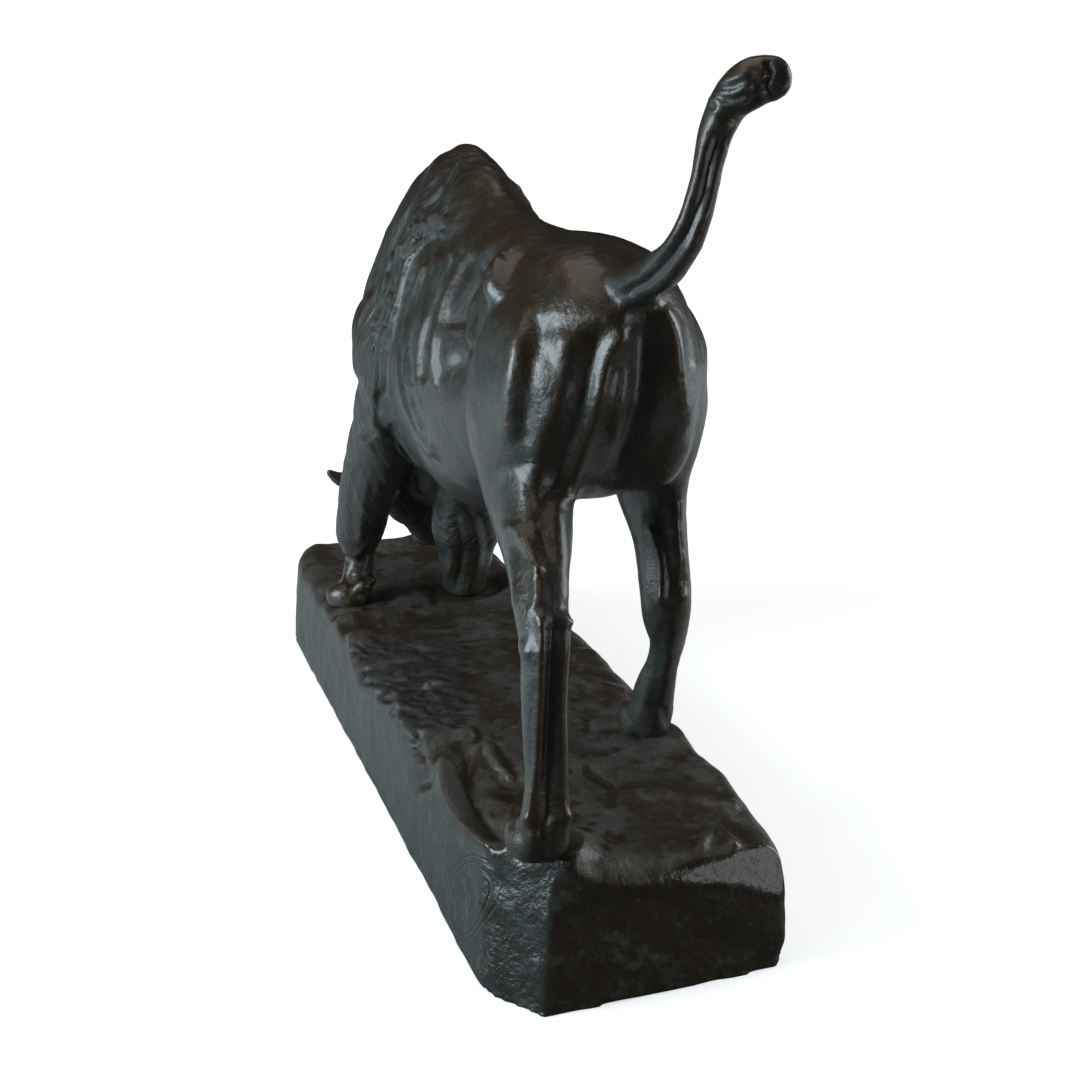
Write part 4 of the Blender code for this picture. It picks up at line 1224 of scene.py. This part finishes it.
points = eased(points, edges, BRINK_STEPS, brink)
points = hewn(points, FINE_FACETS)
points = eased(points, edges, 2)
points[:, 2] = np.maximum(points[:, 2], -GROUND_LEVEL)
move_points(plinth_mesh, points)
plinth_mesh = finished(plinth_mesh, "plinth_bronze")

# %% [markdown]
# ## Feet on the ground
#
# Figure and ground are one bronze, so the soles go a hair's breadth into the rock. Nothing may
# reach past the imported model's box either, which a last clip sees to.

# %% Soles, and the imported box
SOLE_SINK = 1.0
SOLE_REACH = 1.2


def inside_box(mesh, low, high):
    """The mesh clipped to a box given in metres."""
    points = mesh_array(mesh.vertices, "co", 3)
    mesh.vertices.foreach_set("co", np.clip(points, low, high).astype(np.float32).ravel())
    mesh.update()


points = mesh_state(bison_mesh)[0]
for x, y, level, _ in hoof_places:
    under = np.hypot(points[:, 0] - x, points[:, 1] - y) < SOLE_REACH * HOOF_LENGTH
    points[under, 2] = np.maximum(points[under, 2], level - SOLE_SINK)
move_points(bison_mesh, points)
bison_low, bison_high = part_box("bison")
inside_box(bison_mesh, bison_low, bison_high)
inside_box(plinth_mesh, plinth_low, plinth_high)

# %% [markdown]
# ## Where patina gathers
#
# Acid pools in hollows and turns them pale green; cloth and hands rub the ridges brown. Both need
# to know how the skin bends, and which way it faces. The bend is how far a point lies under the
# mean of its neighbours, measured along its normal, on a fine and on a broad scale. It is kept as
# an attribute of the mesh, because a shader's own pointiness is lost when the model is exported.
# A few places that the photograph shows nearly black are painted near black in the same way, most of them
# as painted shade: the flank's hollow, the thigh's rear plane, the space between the legs, the grooves of
# the legs and the tail. The hooves are among them too.

# %% Bend and lie of the skin
FINE_BEND_STEPS = 3
BROAD_BEND_STEPS = 30
HAIR_STRAND = (14.0, 1.7, 3.5)
# Places of the figure that the photograph shows dark, painted near black, most of them as painted shade:
# centre, reach and share
PAINTED_SHADE_AND_DARK_PLACES = (
    ((460, 300), (14, 30), 1.0),
    ((547, 862), (24, 22), 0.8),
    ((378, 500), (34, 70), 1.0),
    ((470, 500), (40, 40), 0.8),
    ((776, 76), (12, 22), 1.0),
    ((558, 520), (16, 60), 0.8),
    ((574, 400), (14, 70), 0.8),
    ((648, 400), (30, 60), 0.5),
    ((640, 700), (30, 30), 0.7),
    ((554, 590), (12, 60), 0.9),
    ((553, 730), (8, 110), 0.9),
    ((664, 640), (16, 60), 0.6),
    ((448, 350), (26, 50), 0.85),
    ((622, 288), (26, 18), 0.9),
    ((668, 250), (28, 24), 0.8),
    ((706, 175), (16, 50), 0.7),
    ((740, 96), (30, 26), 0.7),
)
LIE_STEPS = 8
DARK_PATCH_STEPS = 4
# The bend that counts as full is the one that this many of a hundred points stay under
FULL_BEND = 97


def store(mesh, name, values):
    """One value from nought to one for each point, kept in the mesh under a name."""
    layer = mesh.attributes.new(name, "FLOAT", "POINT")
    layer.data.foreach_set("value", np.clip(values, 0, 1).astype(np.float32))


def store_bends(mesh):
    """Attributes from nought to one: both bends, with hollows over a half, upward and sideways."""
    points, normals, edges = mesh_state(mesh)
    fine = ((eased(points, edges, FINE_BEND_STEPS) - points) * normals).sum(1)
    broad = ((eased(points, edges, BROAD_BEND_STEPS) - points) * normals).sum(1)
    fine, broad = eased(np.stack([fine, broad], 1), edges, 2).T
    for name, bend in (("fine_bend", fine), ("broad_bend", broad)):
        store(mesh, name, 0.5 + 0.5 * bend / np.percentile(np.abs(bend), FULL_BEND))
    lie = eased(normals, edges, LIE_STEPS)
    store(mesh, "upward", 0.5 + 0.5 * lie[:, 2])
    # Sideways is how far the skin faces the lamps on the left and the right; the patina paints those
    # sides paler green, a painted light.
    store(mesh, "sideways", np.abs(lie[:, 1]))
    print(mesh.name, "fine bend up to", round(float(np.abs(fine).max()), 2), "mm")


for mesh in (bison_mesh, plinth_mesh):
    store_bends(mesh)

figure = mesh_state(bison_mesh)[0]
store(bison_mesh, "hair", wool_share(figure))
pixels = photo_pixels(figure)[0]
# The bison's dark places are mostly painted shade. On the plinth the chipped patch is kept dark under the
# same name.
store(bison_mesh, "painted_shade_and_dark_patch", np.max([
    share * np.exp(-oval_away(pixels, centre, reach) ** 2) for centre, reach, share in PAINTED_SHADE_AND_DARK_PLACES
], axis=0))
layer = bison_mesh.attributes.new("strand", "FLOAT_VECTOR", "POINT")
hair_places = strand_places(figure) / HAIR_STRAND
layer.data.foreach_set("vector", hair_places.astype(np.float32).ravel())
figure, normals, edges = mesh_state(plinth_mesh)
# The rubbed facets are glossy, and the patina also paints both of them darker: a painted shade.
store(plinth_mesh, "polished_and_shaded", polished_and_shaded_share(figure))
chipped = chipped_share(figure, normals)
store(plinth_mesh, "painted_shade_and_dark_patch", eased(chipped[:, None], edges, DARK_PATCH_STEPS)[:, 0])

# %% [markdown]
# ## The patina
#
# The colour of a bronze like this is a thin mineral skin over metal. Brown shows where it was handled and
# on everything that faces up; grey-green lies in clouds and blotches; hollows are paler. The sides that
# face the lamps on the left and the right are also painted paler grey-green, a painted light, so faces
# turned away from them keep the darker umber as painted shade. Both pieces share it, so it is one node
# group. It puts out a colour, a roughness and a height, and each material holds its own shader and its
# own shares of brown and green. A few short functions come first, as most of a node tree is sums,
# products and soft steps.

# %% Node helpers
def new_node(tree, kind, feeds=None, **values):
    """Node with its properties set and its inputs fed, by name or by number: another socket is
    linked to an input, and anything else is a constant of it."""
    node = tree.nodes.new(kind)
    for key, value in values.items():
        setattr(node, key, value)
    for key, value in (feeds or {}).items():
        if isinstance(value, bpy.types.NodeSocket):
            tree.links.new(value, node.inputs[key])
        else:
            node.inputs[key].default_value = value
    return node


def maths(tree, operation, first, second=0.0, clamp=False):
    """Math node of one or two values, each a socket or a number."""
    feeds = {0: first, 1: second}
    return new_node(tree, "ShaderNodeMath", feeds, operation=operation, use_clamp=clamp).outputs[0]


def chain(tree, operation, *values):
    """Values taken together one after another: a sum, a product or the greatest. Any of them
    may be a pair, which stands for its first times its second."""
    parts = [maths(tree, "MULTIPLY", *value) if isinstance(value, tuple) else value for value in values]
    result = parts[0]
    for part in parts[1:]:
        result = maths(tree, operation, result, part)
    return result


def mixed(tree, share, first, second):
    """Colour mix of two sockets or plain colours."""
    feeds = {"Factor": share, 6: first, 7: second}
    return new_node(tree, "ShaderNodeMix", feeds, data_type="RGBA").outputs[2]


def speckle(tree, place, scale, detail=3.0, roughness=0.55):
    """Noise texture's value, with a feature every 1 / scale metres."""
    feeds = {"Vector": place, "Scale": scale, "Detail": detail, "Roughness": roughness}
    return new_node(tree, "ShaderNodeTexNoise", feeds).outputs["Fac"]


def stretched(tree, value, low, high, least=0.0):
    """Map Range, smooth and clamped, from low and high to the least value and one."""
    feeds = {"Value": value, "From Min": low, "From Max": high, "To Min": least}
    node = new_node(tree, "ShaderNodeMapRange", feeds, interpolation_type="SMOOTHSTEP")
    return node.outputs["Result"]


def attribute(tree, name, output="Fac"):
    """What the mesh keeps at each of its points under a name."""
    return new_node(tree, "ShaderNodeAttribute", attribute_name=name).outputs[output]


# %% [markdown]
# The group lays one mineral over another. Each layer is a colour and a share, and each share is a sum of
# bends, lie and noise that a soft step makes into nought or one, times what the material gives it. The
# weights in the sums were set against the photograph.

# %% Patina node group
# Colours as red, green, blue and opacity
UMBER = (0.036, 0.023, 0.010, 1.0)
SLATE_GREEN = (0.043, 0.055, 0.050, 1.0)
VERDIGRIS = (0.105, 0.150, 0.130, 1.0)
RUBBED = (0.080, 0.048, 0.024, 1.0)
DUSTY = (0.105, 0.098, 0.085, 1.0)
PALE_SPOT = (0.120, 0.120, 0.095, 1.0)
NEAR_BLACK = (0.008, 0.008, 0.008, 1.0)
# Features of the noise to a metre: clouds 45 mm wide, blotches, spots, and the grain of the cast
NOISE_SCALES = (22.0, 90.0, 260.0, 620.0)
# What a material gives the group, and what each input is at first
PATINA_INPUTS = (
    ("Greenness", 0.5), ("Verdigris", 0.5), ("Rub", 0.5), ("Gloss", 0.5), ("Spots", 0.5),
    ("Mark", 0.0), ("Dust", 0.0),
)


def patina_group():
    """Patina: mineral colours laid on each other by bend, lie, noise and the masks; the lie and the dark
    mask also paint light and shade.

    green = step(greenness - upward + sideways + clouds + blotches), pooled = step(hollow bends)
    times green, worn = step(raised bends), and dark = the greatest of its own masks.
    """
    group = bpy.data.node_groups.new("Patina", "ShaderNodeTree")
    for name, value in PATINA_INPUTS:
        socket = group.interface.new_socket(name, in_out="INPUT", socket_type="NodeSocketFloat")
        socket.default_value = value
    for name, kind in (("Color", "Color"), ("Roughness", "Float"), ("Height", "Float")):
        group.interface.new_socket(name, in_out="OUTPUT", socket_type="NodeSocket" + kind)
    given = group.nodes.new("NodeGroupInput").outputs
    result = group.nodes.new("NodeGroupOutput").inputs
    total, product, greatest = (
        partial(chain, group, operation) for operation in ("ADD", "MULTIPLY", "MAXIMUM")
    )
    step = partial(stretched, group)

    place = group.nodes.new("ShaderNodeTexCoord").outputs["Object"]
    fine, broad, upward, sideways, polished_and_shaded, painted_shade_and_dark_patch, hair = (
        attribute(group, name)
        for name in ("fine_bend", "broad_bend", "upward", "sideways", "polished_and_shaded", "painted_shade_and_dark_patch", "hair")
    )
    clouds, blotches, spots, grain = (speckle(group, place, scale) for scale in NOISE_SCALES)
    strands = speckle(group, attribute(group, "strand", "Vector"), 1.0, 4.0, 0.6)

    # Green rises on the sides that face the lamps, a painted light, and stays low on faces turned from
    # them, a painted shade. Clouds and blotches give the patina's own patches.
    green = total(given["Greenness"], (upward, -1.05), (sideways, 0.75), (clouds, 0.7), (blotches, 0.5))
    green = step(green, 0.30, 1.00)
    pooled = step(total((fine, 0.6), (broad, 0.6), (blotches, 0.5)), 0.85, 1.35)
    pooled = product(pooled, given["Verdigris"], green)
    worn = step(total(1.0, (fine, -0.7), (broad, -0.3), (grain, 0.35)), 0.72, 1.10)
    worn = product(worn, given["Rub"])
    settled = product(step(upward, 0.55, 0.95), given["Dust"], step(clouds, 0.36, 0.62),
                      step(fine, 0.66, 0.46))
    pale = product(step(total(spots, blotches), 1.0, 1.35), given["Spots"])
    pale = greatest(pale, (given["Mark"], 0.35))
    gaps = product(step(strands, 0.56, 0.40), hair)
    # Dark paints near black over the grain and the gaps between strands. It also paints shade on the dark
    # places and on the rubbed facets.
    dark = greatest((step(grain, 0.40, 0.75), 0.35), (gaps, 0.6), (polished_and_shaded, 0.30), (painted_shade_and_dark_patch, 0.75))

    colour = mixed(group, green, UMBER, SLATE_GREEN)
    for share, mineral in (
        (pooled, VERDIGRIS), (worn, RUBBED), (settled, DUSTY), (pale, PALE_SPOT), (dark, NEAR_BLACK),
    ):
        colour = mixed(group, share, colour, mineral)
    matt = total((blotches, 0.22), (pooled, 0.25), (grain, 0.12), (green, 0.08), (hair, 0.07),
                 (worn, -0.08), (polished_and_shaded, -0.22), (painted_shade_and_dark_patch, 0.22))
    height = product(total((grain, 0.45), (spots, 1.1), blotches), total(1.0, (polished_and_shaded, -0.1)))
    height = total(height, (product(strands, hair), 2.6), (given["Mark"], -1.0))
    group.links.new(colour, result["Color"])
    group.links.new(maths(group, "ADD", matt, given["Gloss"], clamp=True), result["Roughness"])
    group.links.new(height, result["Height"])
    return group


patina = patina_group()
print("patina group with", len(patina.nodes), "nodes")

# %% [markdown]
# A shallow oval was pressed into the wax of the left wall near the rear. It is two rings and a few
# slanting bars, worked out in the wall's own plane: one measure across the oval, one up it, and
# the rings where the two together come to a fixed radius.

# %% Pressed oval
SEAL_PLACE = (-0.1590, 0.0, 0.0228)
SEAL_ACROSS = (-47.7, 0.0, -2.1)
SEAL_UP = (32.9, 0.0, 57.0)
SEAL_RINGS = (1.0, 0.84)
SEAL_BARS = 0.26
BAR_SLANT = 0.35
# Soft steps: to the middle of a ring, to the middle of a bar, inwards to where the bars are full,
# and in metres of Y to the left wall
RING_STEP = (0.045, 0.02)
BAR_STEP = (0.06, 0.03)
INSIDE_STEP = (0.62, 0.56)
LEFT_WALL_STEP = (0.050, 0.053)


def seal_group():
    """Pressed oval: one on its lines, where |radius - ring| is small, and nought elsewhere."""
    group = bpy.data.node_groups.new("Pressed oval", "ShaderNodeTree")
    group.interface.new_socket("Mark", in_out="OUTPUT", socket_type="NodeSocketFloat")
    result = group.nodes.new("NodeGroupOutput").inputs
    place = group.nodes.new("ShaderNodeTexCoord").outputs["Object"]
    local = new_node(group, "ShaderNodeVectorMath", {0: place, 1: SEAL_PLACE}, operation="SUBTRACT")
    across, up = (
        new_node(group, "ShaderNodeVectorMath", {0: local.outputs["Vector"], 1: axis},
                 operation="DOT_PRODUCT").outputs["Value"]
        for axis in (SEAL_ACROSS, SEAL_UP)
    )
    radius = maths(group, "SQRT", chain(group, "ADD", (across, across), (up, up)))
    rings = [
        stretched(group, maths(group, "ABSOLUTE", maths(group, "SUBTRACT", radius, ring)), *RING_STEP)
        for ring in SEAL_RINGS
    ]
    away = maths(group, "PINGPONG", chain(group, "ADD", across, (up, BAR_SLANT)), SEAL_BARS)
    bars = maths(group, "MULTIPLY", stretched(group, away, *BAR_STEP),
                 stretched(group, radius, *INSIDE_STEP))
    split = new_node(group, "ShaderNodeSeparateXYZ", {0: place})
    on_left = stretched(group, split.outputs["Y"], *LEFT_WALL_STEP)
    lines = chain(group, "MAXIMUM", *rings, bars)
    group.links.new(maths(group, "MULTIPLY", lines, on_left), result["Mark"])
    return group


seal = seal_group()
print("pressed oval with", len(seal.nodes), "nodes")

# %% [markdown]
# The bronze itself is a shader in each material. Its mineral skin hides all but a fifth of the
# metal, and a wax coat on top gives the cool, clear highlights. The plinth is greener and duller
# than the animal, because it was brushed less, and dust has settled on its ground.

# %% Bronze materials
METAL_SHARE = 0.20
WAX_ROUGHNESS = 0.18
RELIEF_DEPTH = 0.0006


def bronze(name, bump, coat, mark=None, **shares):
    """Waxed bronze: the patina group takes the shares by the names of its inputs, and gives the
    shader its colour, roughness and relief. A mark is a group that is one where lines are cut."""
    material = bpy.data.materials.new(name)
    material.use_nodes = True
    tree = material.node_tree
    shader = tree.nodes["Principled BSDF"]
    group = new_node(tree, "ShaderNodeGroup", shares, node_tree=patina)
    if mark:
        pressed = new_node(tree, "ShaderNodeGroup", node_tree=mark)
        tree.links.new(pressed.outputs["Mark"], group.inputs["Mark"])
    relief = new_node(tree, "ShaderNodeBump", {
        "Height": group.outputs["Height"], "Strength": bump, "Distance": RELIEF_DEPTH,
    })
    tree.links.new(group.outputs["Color"], shader.inputs["Base Color"])
    tree.links.new(group.outputs["Roughness"], shader.inputs["Roughness"])
    tree.links.new(relief.outputs["Normal"], shader.inputs["Normal"])
    shader.inputs["Metallic"].default_value = METAL_SHARE
    shader.inputs["Specular IOR Level"].default_value = 0.5
    shader.inputs["Coat Weight"].default_value = coat
    shader.inputs["Coat Roughness"].default_value = WAX_ROUGHNESS
    return material


bison_bronze = bronze(
    "bison bronze", bump=0.70, coat=0.30,
    Greenness=0.12, Verdigris=0.85, Rub=0.34, Gloss=0.17, Spots=0.25,
)
plinth_bronze = bronze(
    "plinth bronze", bump=0.85, coat=0.12, mark=seal,
    Greenness=0.24, Verdigris=0.60, Rub=0.20, Gloss=0.28, Spots=0.55, Dust=0.90,
)
print("materials:", bison_bronze.name, "and", plinth_bronze.name)

# %% [markdown]
# ## The two bronze pieces
#
# Each new piece takes the place of the imported solid of the same name, rides on the row's one body, and
# gets its own bronze material.

# %% Pieces
for mesh, node, material in (
    (bison_mesh, "bison", bison_bronze), (plinth_mesh, "plinth", plinth_bronze),
):
    mesh.materials.clear()
    mesh.materials.append(material)
    piece = bpy.data.objects.new(node + "_bronze", mesh)
    bpy.context.scene.collection.objects.link(piece)
    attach(piece, "root")
    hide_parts(node)
    print(piece.name, len(mesh.polygons), "faces")

# %% [markdown]
# ## Floor and light
#
# The photograph has a white ground with a soft shadow to the right. A large pale disc stands for
# it, and it is paler seen directly than mirrored, as a room's floor darkens towards the viewer.
# A tall window-like light on the left makes the long cool highlights on the thigh and the
# tendons, one on the right catches the far edges, a broad one hangs overhead, and three small ones
# at the rear give points of light. A dim world keeps the bronze dark: waxed metal is only as
# bright as what it mirrors.

# %% Floor and light
FLOOR_RADIUS = 6.0
PAPER = (0.86, 0.86, 0.86, 1.0)
SHADED_PAPER = (0.10, 0.10, 0.10, 1.0)
DIM_ROOM = (0.02, 0.02, 0.022, 1.0)
WHITE = (1.0, 1.0, 1.0, 1.0)
LEAST_GLOW = 0.58
STRIP_GLOW = 0.2
# Lights: name, place, target, width and height in metres, power in watts, colour
LIGHTS = (
    ("window", (0.0, 1.40, 0.55), (-0.05, 0.0, 0.15), (0.7, 0.9), 22.5, (0.75, 0.89, 1.0)),
    ("far edge", (-0.1, -1.3, 0.50), (-0.05, 0.0, 0.15), (0.8, 0.9), 10.0, (0.84, 0.93, 1.0)),
    ("overhead", (0.1, 0.1, 1.5), (0.0, 0.0, 0.1), (1.4, 1.4), 6.0, (1.0, 0.96, 0.90)),
    ("rear right", (-0.95, -0.70, 0.72), (-0.2, 0.0, 0.05), (0.25, 0.25), 0.3, (0.85, 0.93, 1.0)),
    ("rear left", (-0.75, 1.10, 0.80), (-0.15, 0.0, 0.12), (0.12, 0.50), 1.4, (0.78, 0.90, 1.0)),
    ("corner card", (-0.47, -0.28, 0.153), (-0.2, -0.045, 0.045), (0.20, 0.20), 0.3, (0.85, 0.93, 1.0)),
)


def soft_light(name, place, target, size, power, colour):
    """Area light at a place, turned to face its target."""
    data = bpy.data.lights.new(name, "AREA")
    data.shape = "RECTANGLE"
    data.size, data.size_y = size
    data.energy = power
    data.color = colour
    light = bpy.data.objects.new(name, data)
    light.location = place
    light.rotation_mode = "QUATERNION"
    light.rotation_quaternion = (Vector(target) - Vector(place)).to_track_quat("-Z", "Y")
    bpy.context.scene.collection.objects.link(light)


def pale_paper():
    """White paper when it is seen directly, and glowing more the further out it lies. Mirrored in
    the bronze it darkens towards the rear, and only a strip on the right glows a little."""
    material = bpy.data.materials.new("pale paper")
    material.use_nodes = True
    tree = material.node_tree
    shader = tree.nodes["Principled BSDF"]
    direct = new_node(tree, "ShaderNodeLightPath").outputs["Is Camera Ray"]
    place = new_node(tree, "ShaderNodeTexCoord").outputs["Object"]
    split = new_node(tree, "ShaderNodeSeparateXYZ", {0: place})
    x, y = split.outputs["X"], split.outputs["Y"]
    mirrored = mixed(tree, stretched(tree, x, -0.28, 0.14), SHADED_PAPER, PAPER)
    strip = chain(tree, "MULTIPLY", stretched(tree, y, -0.05, -0.09), stretched(tree, y, -0.30, -0.18),
                  stretched(tree, x, -0.02, -0.14), STRIP_GLOW)
    far = new_node(tree, "ShaderNodeVectorMath", {0: place}, operation="LENGTH").outputs["Value"]
    glow = maths(tree, "MULTIPLY", stretched(tree, far, 0.25, 1.2, LEAST_GLOW),
                 maths(tree, "MAXIMUM", direct, strip))
    tree.links.new(mixed(tree, direct, mirrored, PAPER), shader.inputs["Base Color"])
    tree.links.new(glow, shader.inputs["Emission Strength"])
    shader.inputs["Emission Color"].default_value = WHITE
    shader.inputs["Roughness"].default_value = 0.9
    shader.inputs["Specular IOR Level"].default_value = 0.0
    return material


turn = np.linspace(0, 2 * np.pi, 96, endpoint=False)
rim = np.stack([FLOOR_RADIUS * np.cos(turn), FLOOR_RADIUS * np.sin(turn), 0 * turn], 1)
floor_mesh = bpy.data.meshes.new("pale floor")
floor_mesh.from_pydata(rim.tolist(), [], [list(range(len(rim)))])
floor_mesh.materials.append(pale_paper())
floor = bpy.data.objects.new("pale floor", floor_mesh)
bpy.context.scene.collection.objects.link(floor)

for row in LIGHTS:
    soft_light(*row)

world = bpy.data.worlds.new("studio")
bpy.context.scene.world = world
world.use_nodes = True
tree = world.node_tree
direct = new_node(tree, "ShaderNodeLightPath").outputs["Is Camera Ray"]
tree.links.new(mixed(tree, direct, DIM_ROOM, WHITE), tree.nodes["Background"].inputs["Color"])
bpy.context.scene.view_settings.view_transform = "Standard"
print(len(LIGHTS), "lights, the strongest of", max(row[4] for row in LIGHTS), "watts")
